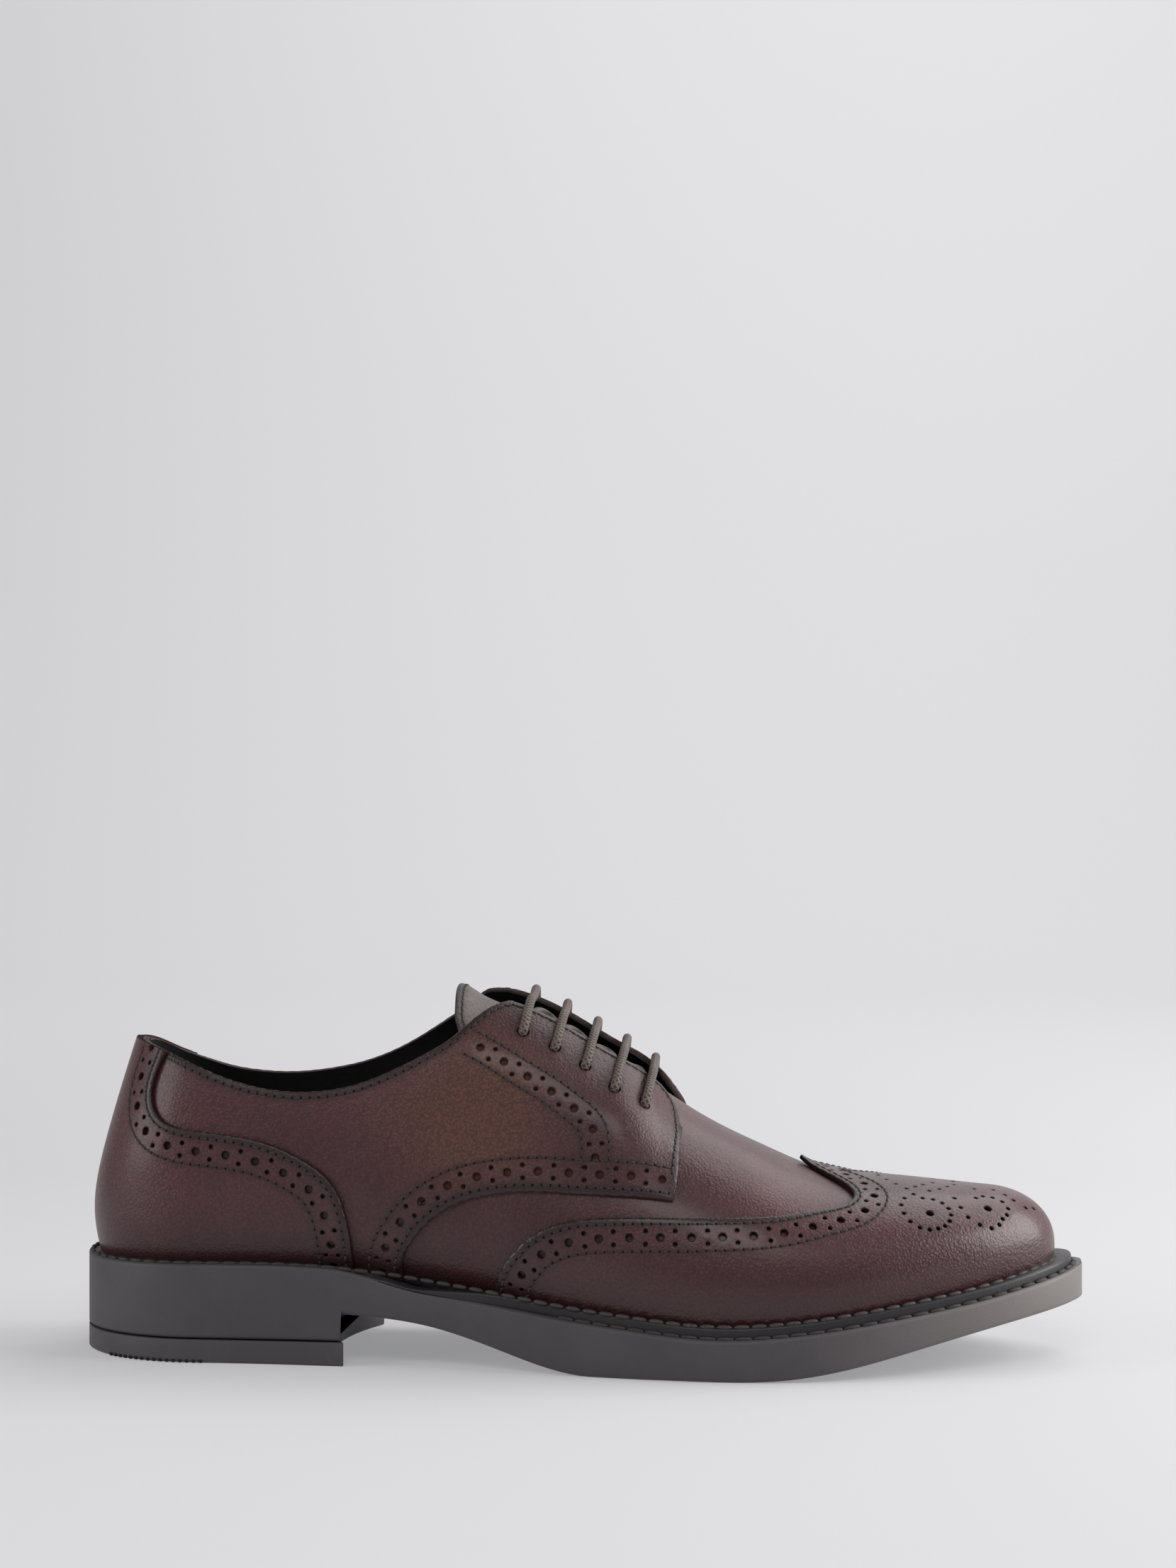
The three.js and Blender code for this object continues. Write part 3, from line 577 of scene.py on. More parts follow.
def tree_of(points):
    tree = KDTree(len(points))
    for i, point in enumerate(points):
        tree.insert(point, i)
    tree.balance()
    return tree


def nearest(tree, points):
    return np.array([tree.find(point)[2] for point in points])


def drop_near_edge(distance, radius):
    """How far a rounded edge lies below the face at a distance from the cut."""
    inner = np.clip(radius - distance, 0, radius)
    return radius - np.sqrt(np.maximum(radius**2 - inner**2, 0))


def circle_axes(axes):
    """Two directions square to each other on the form."""
    first = unit(axes[0])
    return first, np.cross(axes[2], first)


def circle_steps(sides):
    """Cosines and sines of even steps round a circle, shaped to multiply rows of points."""
    turn = 2 * math.pi * np.arange(sides) / sides
    return np.cos(turn)[None, :, None], np.sin(turn)[None, :, None]


def ring_on(chart, spots, radius, sides, growth):
    """Circles on the form round each spot, as chart coordinates of shape spots, sides, 2."""
    axes = axes_on(chart, spots, growth)
    first, second = circle_axes(axes)
    cos, sin = circle_steps(sides)
    move = radius * (cos * first[:, None] + sin * second[:, None])
    wide = [axis[:, None, :] for axis in axes]
    return spots[:, None, :] + chart_step(wide, move)


def closed_links(start, count):
    """The links that close a run of points into a ring."""
    return [(start + i, start + (i + 1) % count) for i in range(count)]


def cut_panel(name, chart, outline, outer, inner, materials, edges=(), holes=(), pricks=None, spacing=1.7,
              seam_end=None, shape=None):
    """A leather panel cut on a chart of the last. Its outline, punched holes and needle pricks are real.

    outer and inner are the growth of its two faces, edges the cut edges that show, holes a list of
    (spots, radius, sides), pricks the needle's places, seam_end the value along the chart where the panel
    meets itself, and shape an extra height for both faces. The faces take materials for the outer side,
    the inner side and the cut edge.
    """
    outline = tidy_outline(chart, np.array(outline), outer)
    sample = outline[:: max(1, len(outline) // 60)]
    axes = axes_on(chart, sample, outer)
    scale = np.array([np.median(np.linalg.norm(axis, axis=1)) for axis in axes[:2]])
    spots, links = [outline], closed_links(0, len(outline))
    count = len(outline)
    keep_clear = [on_form(chart, outline, outer)]
    for edge in edges:
        for distance in EDGE_ROWS:
            spots.append(offset_line(chart, edge, distance, outer, 1))
            count += len(edge)
            keep_clear.append(on_form(chart, spots[-1], outer))
    hole_points, hole_sizes = [], []
    for places, radius, sides in holes:
        for extra in HOLE_ROWS:
            rings = ring_on(chart, places, radius + extra, sides, outer)
            if extra == 0:
                for k in range(len(rings)):
                    links += closed_links(count + k * sides, sides)
            spots.append(rings.reshape(-1, 2))
            count += len(spots[-1])
            keep_clear.append(on_form(chart, spots[-1], outer))
        hole_points.append(on_form(chart, places, outer))
        hole_sizes.append(np.full(len(places), radius))
    if pricks is not None:
        rings = ring_on(chart, pricks, PRICK_RADIUS, PRICK_SIDES, outer)
        spots += [pricks, rings.reshape(-1, 2)]
        prick_points = on_form(chart, pricks, outer)
        keep_clear += [prick_points, on_form(chart, rings.reshape(-1, 2), outer)]
    low, high = outline.min(0), outline.max(0)
    steps = np.ceil((high - low) * scale / spacing).astype(int)
    mesh_grid = np.stack(np.meshgrid(np.linspace(low[0], high[0], steps[0] + 1)[1:-1],
                                     np.linspace(low[1], high[1], steps[1] + 1)[1:-1]), -1).reshape(-1, 2)
    clear = tree_of(np.concatenate(keep_clear))
    grid_points = on_form(chart, mesh_grid, outer)
    spots.append(mesh_grid[nearest(clear, grid_points) > spacing * 0.45])
    flat = np.concatenate(spots) * scale
    made, _e, triangles, _a, _b, _c = geometry.delaunay_2d_cdt(
        [Vector(p) for p in flat], links, [], 0, 1e-5, False)
    spot = np.array([tuple(p) for p in made]) / scale
    triangles = np.array(triangles)
    triangles = triangles[inside_outline(spot[triangles].mean(1), outline)]
    base = on_form(chart, spot, outer)
    if hole_points:
        hole_sizes = np.concatenate(hole_sizes)
        hole_tree = tree_of(np.concatenate(hole_points))
        found = [hole_tree.find(p) for p in base[triangles].mean(1)]
        inside = np.array([f[2] < hole_sizes[f[1]] * 0.96 for f in found])
        triangles = triangles[~inside]
    used = np.unique(triangles)
    order = -np.ones(len(spot), int)
    order[used] = np.arange(len(used))
    spot, base, triangles = spot[used], base[used], order[triangles]
    axes = axes_on(chart, spot, outer)
    corners = base[triangles]
    facing = np.cross(corners[:, 1] - corners[:, 0], corners[:, 2] - corners[:, 0])
    wrong = (facing * axes[2][triangles[:, 0]]).sum(-1) < 0
    triangles[wrong] = triangles[wrong][:, ::-1]
    drop = np.zeros(len(spot))
    # Nearness to a cut edge, for darkening that is partly burnished stain and partly painted shade along the
    # edge
    edge_stain_and_shade = np.zeros(len(spot))
    # Needle pricks and hole rims, whose colour gets painted shade in the recesses
    pit = np.zeros(len(spot))
    if len(edges):
        dense = [even_line(on_form(chart, edge, outer), 0.25) for edge in edges]
        away = nearest(tree_of(np.concatenate(dense)), base)
        drop += drop_near_edge(away, EDGE_RADIUS)
        edge_stain_and_shade = np.clip(1 - away / DARK_EDGE_WIDTH, 0, 1) ** 1.5
    if hole_points:
        found = [hole_tree.find(p) for p in base]
        away = np.array([f[2] - hole_sizes[f[1]] for f in found])
        drop += drop_near_edge(np.maximum(away, 0), HOLE_EDGE_RADIUS)
        pit = np.maximum(pit, np.clip(1 - away / 0.5, 0, 1))
    if pricks is not None:
        away = nearest(tree_of(prick_points), base)
        drop += PRICK_DEPTH * np.clip(1 - away / PRICK_RADIUS, 0, 1)
        pit = np.maximum(pit, np.clip(1.35 - away / PRICK_RADIUS, 0, 1))
    normal = last_normal(*chart(spot))
    extra = shape(base) if shape else np.zeros(len(spot))
    under = on_form(chart, spot, inner) + normal * extra[:, None]
    over = base - normal * (drop - extra)[:, None]
    edges_seen = dict.fromkeys(pair for a, b, c in triangles for pair in ((a, b), (b, c), (c, a)))
    rim = [pair for pair in edges_seen if (pair[1], pair[0]) not in edges_seen]
    if seam_end is not None:
        at_seam = np.abs(spot[:, 0] - seam_end) < 1e-6
        rim = [(a, b) for a, b in rim if not (at_seam[a] and at_seam[b])]
    total = len(spot)
    faces = [tuple(t) for t in triangles] + [tuple(total + t[::-1]) for t in triangles]
    faces += [(b, a, total + a, total + b) for a, b in rim]
    face_material = [0] * len(triangles) + [1] * len(triangles) + [2] * len(rim)
    marks = {"edge": np.tile(edge_stain_and_shade, 2), "pit": np.tile(pit, 2)}
    return piece_from(name, np.concatenate([over, under]), faces, materials, face_material, marks)


class Thread:
    """Stitches of one thread, gathered from many seams and made into one mesh."""

    def __init__(self, size):
        self.size = size
        self.places = []

    def seam(self, chart, spots, growth):
        """A stitch between each two pricks that lie next to each other."""
        points = on_form(chart, spots, growth)
        normal = last_normal(*chart(spots))
        middle = (points[1:] + points[:-1]) / 2
        gap = np.linalg.norm(points[1:] - points[:-1], axis=1)
        near = gap < 1.5 * np.median(gap)
        self.places.append((middle[near], unit(points[1:] - points[:-1])[near],
                            unit(normal[1:] + normal[:-1])[near]))

    def lie_flat(self, line, run, at):
        """Stitches that lie along a nearly level line, at the lengths given."""
        ahead = unit(points_at(line, run, at + 1) - points_at(line, run, at - 1))
        self.places.append((points_at(line, run, at), ahead, np.tile([0.0, 0.0, 1.0], (len(at), 1))))

    def make(self, name, material):
        deselect()
        bpy.ops.mesh.primitive_uv_sphere_add(segments=8, ring_count=6, radius=1)
        stitch = bpy.context.object
        bpy.ops.object.mode_set(mode="EDIT")
        bpy.ops.mesh.select_all(action="SELECT")
        bpy.ops.transform.rotate(value=math.pi / 2, orient_axis="Y", center_override=(0, 0, 0))
        bpy.ops.object.mode_set(mode="OBJECT")
        shape = np.array([v.co for v in stitch.data.vertices])
        faces = [list(p.vertices) for p in stitch.data.polygons]
        bpy.data.objects.remove(stitch)
        shape[:, 0] = np.sign(shape[:, 0]) * np.abs(shape[:, 0]) ** 0.7
        shape = shape * np.array(self.size) / 2
        points, ahead, normal = (np.concatenate(part) for part in zip(*self.places))
        across = unit(np.cross(normal, ahead))
        normal = np.cross(ahead, across)
        turned = (shape[None, :, 0, None] * ahead[:, None] + shape[None, :, 1, None] * across[:, None]
                  + shape[None, :, 2, None] * normal[:, None])
        all_points = (points[:, None] + turned).reshape(-1, 3)
        step = len(shape)
        all_faces = [[i + k * step for i in face] for k in range(len(points)) for face in faces]
        return piece_from(name, all_points, all_faces, [material], smooth_angle=80)


# Shader maths
class Socket:
    """A node's output, on which arithmetic adds Math nodes."""

    def __init__(self, tree, link):
        self.tree = tree
        self.link = link

    def math(self, operation, other=0.0):
        return self.tree.node("ShaderNodeMath", {"operation": operation}, {0: self, 1: other})

    def __add__(self, other):
        return self.math("ADD", other)

    def __sub__(self, other):
        return self.math("SUBTRACT", other)

    def __rsub__(self, other):
        return self * -1 + other

    def __mul__(self, other):
        return self.math("MULTIPLY", other)

    def clamp(self):
        return self.tree.node("ShaderNodeClamp", {}, {"Value": self})

    def ramp(self, low, high):
        """0 below low, 1 above high, smooth between."""
        inputs = {"Value": self, "From Min": low, "From Max": high}
        return self.tree.node("ShaderNodeMapRange", {"interpolation_type": "SMOOTHSTEP"}, inputs)

    def at_least(self, other):
        return self.math("MAXIMUM", other)


class Finish:
    """A material's node tree around one Principled shader."""

    def __init__(self, name):
        self.material = bpy.data.materials.new(name)
        self.material.use_nodes = True
        self.nodes = self.material.node_tree.nodes
        self.links = self.material.node_tree.links
        self.shader = self.nodes["Principled BSDF"]
        self.place = self.node("ShaderNodeTexCoord", {}, {}, "Object")

    def node(self, kind, settings, inputs, output=0):
        made = self.nodes.new(kind)
        for key, value in settings.items():
            setattr(made, key, value)
        for key, value in inputs.items():
            self.feed(made.inputs[key], value)
        return Socket(self, made.outputs[output])

    def feed(self, socket, value):
        if isinstance(value, Socket):
            self.links.new(value.link, socket)
        elif isinstance(value, tuple) and len(value) == 3 and socket.type == "RGBA":
            socket.default_value = (*value, 1)
        else:
            socket.default_value = value

    def set(self, **values):
        for key, value in values.items():
            self.feed(self.shader.inputs[key.replace("_", " ")], value)

    def attribute(self, name):
        return self.node("ShaderNodeAttribute", {"attribute_name": name}, {}, "Fac")

    def noise(self, scale, detail=3.0, roughness=0.5, distortion=0.0):
        inputs = {"Vector": self.place, "Scale": scale, "Detail": detail, "Roughness": roughness,
                  "Distortion": distortion}
        return self.node("ShaderNodeTexNoise", {}, inputs, "Fac")

    def cells(self, scale):
        return self.node("ShaderNodeTexVoronoi", {}, {"Vector": self.place, "Scale": scale}, "Distance")

    def mix(self, share, first, second):
        made = self.nodes.new("ShaderNodeMix")
        made.data_type = "RGBA"
        self.feed(made.inputs["Factor"], share)
        self.feed(made.inputs[6], first)
        self.feed(made.inputs[7], second)
        return Socket(self, made.outputs[2])

    def bump(self, height, distance, strength):
        inputs = {"Height": height, "Distance": distance, "Strength": strength}
        return self.node("ShaderNodeBump", {}, inputs, "Normal")

    def axis(self, name, vector=None):
        return self.node("ShaderNodeSeparateXYZ", {}, {"Vector": vector or self.place}, name)

    def vector_math(self, operation, inputs, output):
        return self.node("ShaderNodeVectorMath", {"operation": operation}, inputs, output)


def times(share, color):
    """A colour made darker or paler."""
    return tuple(share * channel for channel in color)


FINE_GRAIN = 0.00012


def leather(name, deep, red, warm, roughness=0.4, coat=0.25, warm_place=None):
    """Burnished calf: browns in soft clouds, darker at cut edges as burnish and painted shade, with painted
    shade in holes, pricks and low on the shoe.
    """
    finish = Finish(name)
    clouds = finish.noise(13, 3, 0.6).ramp(0.40, 0.62)
    patches = finish.noise(30, 4, 0.6).ramp(0.44, 0.68)
    color = finish.mix(clouds, deep, red)
    color = finish.mix(patches * 0.45, color, warm)
    if warm_place is not None:
        place, reach, tone = warm_place
        offset = finish.vector_math("SUBTRACT", {0: finish.place, 1: place}, "Vector")
        away = finish.vector_math("LENGTH", {0: offset}, "Value")
        near = 1 - (away + finish.noise(45, 3, 0.6) * 0.02 - 0.01).ramp(reach * 0.25, reach)
        color = finish.mix(near * 0.75, color, tone)
    grains = finish.cells(1250)
    fine = finish.noise(1500, 3, 0.7)
    speckle = (fine * 0.6 + grains * 0.55).ramp(0.34, 0.72)
    color = finish.mix(speckle * 0.6, color, times(0.4, deep))
    pale = finish.noise(700, 3, 0.75).ramp(0.58, 0.74)
    color = finish.mix(pale * 0.25, color, times(1.5, warm))
    edge = finish.attribute("edge")
    pit = finish.attribute("pit")
    # Darker near cut edges: partly burnished stain, partly painted shade along the edges
    color = finish.mix(edge.ramp(0.0, 0.8) * 0.85, color, times(0.22, deep))
    # Painted shade low on the shoe, darkening towards the sole
    low = 1 - finish.axis("Z").ramp(0.020, 0.052)
    color = finish.mix(low * 0.62, color, times(0.35, deep))
    # Painted shade in the needle pricks and round the punched holes
    color = finish.mix(pit.clamp() * 0.9, color, times(0.1, deep))
    wrinkle = finish.noise(240, 4, 0.6, distortion=0.6)
    height = grains * 0.7 + fine * 0.5 + wrinkle * 0.9
    rough = finish.noise(70, 4, 0.6) * 0.16 + (roughness - 0.08) + pit * 0.25 + speckle * 0.05
    finish.set(Base_Color=color, Roughness=rough, Coat_Weight=coat, Coat_Roughness=0.24,
               Specular_IOR_Level=0.38, Normal=finish.bump(height, 0.00030, 0.7))
    return finish.material


def plain_finish(name, color, roughness, other=None, scale=500, coat=0.0, sheen=0.25):
    """One tone clouded with another, over a fine grain."""
    finish = Finish(name)
    tone = finish.mix(finish.noise(scale, 3, 0.6).ramp(0.35, 0.7), color, other or times(0.7, color))
    finish.set(Base_Color=tone, Roughness=roughness, Coat_Weight=coat, Specular_IOR_Level=sheen,
               Normal=finish.bump(finish.noise(1200, 3, 0.6), FINE_GRAIN, 0.6))
    return finish.material


def shaded_rear_thread(name, shaded_rear_tone, front):
    """Thread darker at the heel and waist, where the stitches lie low under the upper, as painted shade, and
    paler round the forepart.
    """
    finish = Finish(name)
    # Painted shade on the stitches towards the heel and waist
    tone = finish.mix(finish.axis("X").ramp(-0.075, 0.01), shaded_rear_tone, front)
    tone = finish.mix(finish.noise(2500, 3, 0.6).ramp(0.35, 0.7), tone, shaded_rear_tone)
    finish.set(Base_Color=tone, Roughness=0.6,
               Normal=finish.bump(finish.noise(1500, 3, 0.6), FINE_GRAIN, 0.6))
    return finish.material


def rubber(name, color, toe_highlight_tone, roughness=0.55, waist_color=None):
    """Moulded rubber in soft clouds, paler towards the toe as a painted highlight, and its own tone at the
    waist.
    """
    finish = Finish(name)
    # A painted highlight that grows towards the toe
    toe_highlight = finish.axis("X").ramp(0.06, 0.15)
    cloud = finish.noise(30, 4, 0.6).ramp(0.35, 0.7)
    tone = finish.mix(cloud * 0.5, color, times(1.35, color))
    tone = finish.mix(toe_highlight * 0.8, tone, toe_highlight_tone)
    if waist_color:
        tone = finish.mix(finish.axis("X").ramp(-0.056, -0.044), waist_color, tone)
    speck = finish.noise(1600, 2, 0.7).ramp(0.62, 0.75)
    tone = finish.mix(speck * 0.25, tone, times(1.8, color))
    rough = finish.noise(90, 3, 0.5) * 0.15 + (roughness - 0.07)
    grain = finish.noise(1500, 3, 0.6) + finish.noise(240, 3, 0.5) * 0.6
    finish.set(Base_Color=tone, Roughness=rough, Specular_IOR_Level=0.4,
               Normal=finish.bump(grain, FINE_GRAIN, 0.6))
    return finish.material


DEEP = (0.062, 0.0185, 0.0225)
RED = (0.098, 0.0260, 0.0310)
WARM = (0.112, 0.043, 0.037)
ORANGE = (0.150, 0.058, 0.034)
# Near-black cut edges of the vamp, wing, counter and tongue: painted shade along the edges
SHADED_CUT_EDGE = (0.024, 0.010, 0.010)
BURNISHED_PATCH = ((-0.030, -0.040, 0.078), 0.036, ORANGE)
quarter_leather = leather("quarter_leather", DEEP, RED, WARM, warm_place=BURNISHED_PATCH)
wing_leather = leather("wing_leather", DEEP, RED, WARM, 0.36, 0.32)
counter_leather = leather("counter_leather", DEEP, RED, WARM, 0.42)
under_leather = plain_finish("under_leather", (0.13, 0.035, 0.022), 0.6, (0.07, 0.02, 0.015))
shaded_raw_edge = plain_finish("shaded_raw_edge", SHADED_CUT_EDGE, 0.85, sheen=0.1)
quarter_edge = plain_finish("quarter_edge", (0.060, 0.032, 0.029), 0.75)
flesh_side = plain_finish("flesh_side", (0.02, 0.012, 0.011), 0.85)
black_lining = plain_finish("black_lining", (0.008, 0.0075, 0.0075), 0.6, coat=0.05)
tongue_leather = leather("tongue_leather", (0.13, 0.1, 0.09), (0.15, 0.11, 0.1), (0.12, 0.09, 0.08), 0.5, 0.1)
dark_thread = plain_finish("dark_thread", (0.052, 0.036, 0.034), 0.6, (0.026, 0.016, 0.016), scale=2500)
sole_thread = shaded_rear_thread("sole_thread", (0.020, 0.014, 0.014), (0.062, 0.046, 0.044))
ledge_thread = plain_finish("ledge_thread", (0.056, 0.049, 0.050), 0.6, scale=2500)
SOLE_TONE = (0.062, 0.055, 0.060)
# The pale toe tone is a painted highlight
sole_rubber = rubber("sole_rubber", SOLE_TONE, (0.20, 0.178, 0.17))
welt_rubber = rubber("welt_rubber", (0.020, 0.017, 0.019), (0.028, 0.025, 0.027), 0.42, SOLE_TONE)
tread_rubber = plain_finish("tread_rubber", (0.012, 0.011, 0.012), 0.7)
sock_leather = plain_finish("sock_leather", (0.010, 0.009, 0.009), 0.65)


def lace_finish():
    """A waxed round braid: a fine herringbone along the cord."""
    finish = Finish("lace_braid")
    uv = finish.node("ShaderNodeUVMap", {"uv_map": "run"}, {}, "UV")
    run = finish.axis("X", uv)
    turn = finish.axis("Y", uv)
    strands_along, strands_around = 5.2, 25.13
    first = (run * strands_along + turn * strands_around).math("SINE")
    second = (run * strands_along - turn * strands_around).math("SINE")
    weave = first.at_least(second)
    color = finish.mix(weave.ramp(-0.4, 1.0), (0.055, 0.04, 0.034), (0.16, 0.122, 0.105))
    color = finish.mix(finish.noise(800, 3, 0.6).ramp(0.35, 0.75) * 0.5, color, (0.09, 0.066, 0.056))
    finish.set(Base_Color=color, Roughness=0.62,
               Normal=finish.bump(weave + finish.noise(2500) * 0.4, 0.00025, 0.8))
    return finish.material


# Lines on the last that the panels share
quarter_outer = quarter_growth(QUARTER_PROUD)
counter_outer = quarter_growth(QUARTER_PROUD + GAP + OVERLAY)
SIDES = (-1, 1)


def set_back(edge, distance):
    """An edge in side view, moved towards the heel."""
    return tuple((along - distance / LAST_LENGTH, up) for along, up in edge)


def inner_collar(side):
    return COLLAR if side < 0 else tuple((a, up + inner, 0) for a, up, inner in COLLAR)


def throat_edge(side, growth):
    """The throat's edge, from its rear end to its front end, in the side chart."""
    at = np.array(THROAT["at"])
    plan = np.stack([HEEL_MARGIN + at * LAST_LENGTH, side * np.array(THROAT["half"]) * BALL_WIDTH], -1)
    low, high = ((-0.62, 0.5), (-0.3, 1.0)) if side < 0 else ((0.3, 0.5), (0.62, 1.0))
    return find_on_form(side_chart, smooth_line(plan), (0, 1), growth, low, high)


def cut_at_crossing(first, second):
    """Two lines of the side chart, the first kept up to where they cross and the second from there."""
    gap = np.linalg.norm((first[:, None] - second[None]) * np.array(SIDE_CHART_SIZE), axis=-1)
    i, j = np.unravel_index(gap.argmin(), gap.shape)
    return first[: i + 1], second[j + 1 :]


edges = {}
for side in SIDES:
    collar = from_back(side_edge(inner_collar(side), side, quarter_outer), COLLAR, quarter_outer)
    throat = throat_edge(side, quarter_outer)
    collar, throat = cut_at_crossing(collar, throat)
    front = side_edge(QUARTER_FRONT, side, quarter_outer)
    throat, front_down = cut_at_crossing(throat, front[::-1])
    lower = side_edge(QUARTER_LOWER, side, quarter_outer)
    edges[side] = {"collar": collar, "throat": throat, "front": front_down, "lower": lower[::-1],
                   "counter": side_edge(COUNTER, side, counter_outer)}


def down_to_feather(line):
    """A line that ends low, carried straight down to the feather line."""
    return np.concatenate([line, [[line[-1, 0] + (line[-1, 0] - line[-3, 0]) * 0.3, FEATHER]]])


def along_feather(start, end, count=260):
    at = np.linspace(start, end, count)[1:-1]
    return np.stack([at, np.full(len(at), FEATHER)], -1)


def quarter_outline(lines):
    """The closed outline of both quarters, which are one panel round the heel."""
    outer_side, inner_side = (
        np.concatenate([*(lines[side][part] for part in ("collar", "throat", "front")),
                        down_to_feather(lines[side]["lower"])])
        for side in SIDES)
    bottom = along_feather(outer_side[-1, 0], inner_side[-1, 0])
    return np.concatenate([outer_side, bottom, inner_side[:0:-1]])


upper_thread = Thread(UPPER_STITCH)


def kept(spots, within):
    """The spots that lie inside a panel's outline."""
    return spots if within is None else spots[inside_outline(spots, within)]


def clear_of(chart, spots, edge, growth, distance):
    """The spots that lie at least a distance from an edge, also where it turns back on itself."""
    line = tree_of(even_line(on_form(chart, edge, growth), 0.3))
    return spots[nearest(line, on_form(chart, spots, growth)) > 0.88 * distance]


def punched(big, small):
    """Big and small holes as a panel wants them."""
    return [(big, BIG_HOLE, HOLE_SIDES), (small, SMALL_HOLE, SMALL_HOLE_SIDES)]


def band(chart, edge, growth, sign, start, finish, within=None):
    """Two stitch rows with big and small holes between them, at their distances from an edge."""
    pricks = []
    for row in (FIRST_ROW, SECOND_ROW):
        line = clear_of(chart, offset_line(chart, edge, sign * row, growth), edge, growth, row)
        pricks.append(seam_row(chart, line, growth, start, finish, within))
    middle = clear_of(chart, offset_line(chart, edge, sign * BAND_MIDDLE, growth), edge, growth, BAND_MIDDLE)
    big, small = holes_along(chart, middle, growth, start + 2.5, finish + 2.5)
    return pricks, punched(kept(big, within), kept(small, within))


def holes_along(chart, middle, growth, start, finish):
    """Big holes at an even pitch, and two small ones side by side between each two of them."""
    big = spaced(chart, middle, growth, BIG_HOLE_PITCH, start, finish)
    run = length_along(on_form(chart, middle, growth))
    fine = spaced(chart, middle, growth, run[-1] / 400)
    small = []
    for sign in (-1, 1):
        beside = offset_line(chart, fine, sign * SMALL_HOLE_ACROSS, growth)
        index = [int(np.linalg.norm((fine - (a + b) / 2) * np.array(SIDE_CHART_SIZE), axis=1).argmin())
                 for a, b in zip(big[:-1], big[1:])]
        small.append(beside[index])
    return big, np.concatenate(small)


def seam_row(chart, line, growth, start=0.0, finish=0.0, within=None):
    spots = kept(spaced(chart, line, growth, STITCH_PITCH, start, finish), within)
    upper_thread.seam(chart, spots, growth)
    return spots


# Quarters
def make_quarters():
    holes, pricks, shown = [], [], []
    outline = quarter_outline(edges)
    for side in SIDES:
        lines = edges[side]
        top = np.concatenate([lines["collar"], lines["throat"][1:], lines["front"][1:]])
        # a line's left lies inside the panel on the inner side of the shoe, and its right on the outer side
        shown += [line[::side] for line in (top, lines["lower"])]
        row = offset_line(side_chart, top, side * FIRST_ROW, quarter_outer)
        pricks.append(seam_row(side_chart, row, quarter_outer, 22, 3, outline))
        lower = down_to_feather(lines["lower"])
        for rows, punches in (band(side_chart, lower, quarter_outer, side, 1.5, 1, outline),
                              facing_band(side, outline)):
            pricks += rows
            holes += punches
        holes.append((eyelet_spots(side), EYELET_RADIUS, EYELET_SIDES))
    return cut_panel("quarters", side_chart, outline, quarter_outer, quarter_growth(0.1),
                     [quarter_leather, flesh_side, quarter_edge], shown, holes, np.concatenate(pricks))


FACING_BAND = (
    (.4034, .646), (.4305, .624), (.4567, .607), (.4828, .598), (.5065, .587), (.5299, .564),
    (.5356, .51), (.5356, .473),
)
FACING_ROW = 4.0


def facing_band(side, within):
    """The punched line with no cut edge, from the collar along the facing down to the lower band."""
    rows = np.array(FACING_BAND)
    size = np.array(SIDE_CHART_SIZE)
    line = smooth_line(np.stack([side * share_of(rows[:, 0]), rows[:, 1]], -1) * size, 0.9) / size
    pricks = []
    for away in (-FACING_ROW, FACING_ROW):
        beside = offset_line(side_chart, line, away, quarter_outer)
        pricks.append(seam_row(side_chart, beside, quarter_outer, 0.5, 0.5, within))
    big, small = holes_along(side_chart, line, quarter_outer, 3.5, 3.5)
    return pricks, punched(kept(big, within), kept(small, within))


def around_at_half(along, side, half):
    """How far around the last the quarter's face lies a given distance out from the middle."""
    low, high = np.zeros(len(along)), np.full(len(along), 0.75)
    for _ in range(40):
        middle = (low + high) / 2
        around = side * middle
        face = last_point(along, around) + last_normal(along, around) * quarter_outer(along, around)[:, None]
        too_wide = np.abs(face[:, 1]) > half
        low, high = np.where(too_wide, low, middle), np.where(too_wide, middle, high)
    return side * (low + high) / 2


def eyelet_spots(side):
    at = np.array(EYELETS["at"]) + (LACE_SLANT if side > 0 else 0)
    around = around_at_half(at, side, (throat_half(at) + eyelet_inset(at)) * BALL_WIDTH)
    return np.stack([side * share_of(at), 1 - np.abs(around)], -1)


def closed_round_toe(line, count):
    """A line from side to side over the forepart, closed along the feather line and round the toe."""
    low, high = -1 + FEATHER, 1 - FEATHER
    outer_side = np.stack([np.linspace(TOE_END, line[0, 0], count), np.full(count, low)], -1)
    inner_side = np.stack([np.linspace(line[-1, 0], TOE_END, count), np.full(count, high)], -1)
    front = np.stack([np.full(60, TOE_END), np.linspace(high, low, 60)], -1)
    return np.concatenate([line, inner_side[1:], front[1:], outer_side[1:-1]])


# Vamp
def make_vamp():
    outline = []
    for side in SIDES:
        lower = side_edge(set_back(QUARTER_LOWER, 8), side, plain_growth(0))
        top = np.array([[lower[-1, 0], c] for c in np.linspace(lower[-1, 1], 0.999, 40)])
        line = np.concatenate([[[lower[0, 0], FEATHER]], lower, top[1:]])
        spot = np.stack([np.abs(line[:, 0]), side * (1 - line[:, 1])], -1)
        outline.append(spot[::-side])
    closed = closed_round_toe(np.concatenate(outline), 220)
    return cut_panel("vamp", top_chart, closed, plain_growth(0), plain_growth(-VAMP_WALL),
                     [quarter_leather, black_lining, shaded_raw_edge], seam_end=TOE_END)


# Wing cap
wing_outer = plain_growth(GAP + OVERLAY)


def wing_edge_line():
    around = np.linspace(-1 + FEATHER, 1 - FEATHER, 700)
    along = wing_along(1 - np.abs(around))
    line = np.stack([share_of(along), around], -1)
    return spaced(top_chart, line, wing_outer, 0.8)


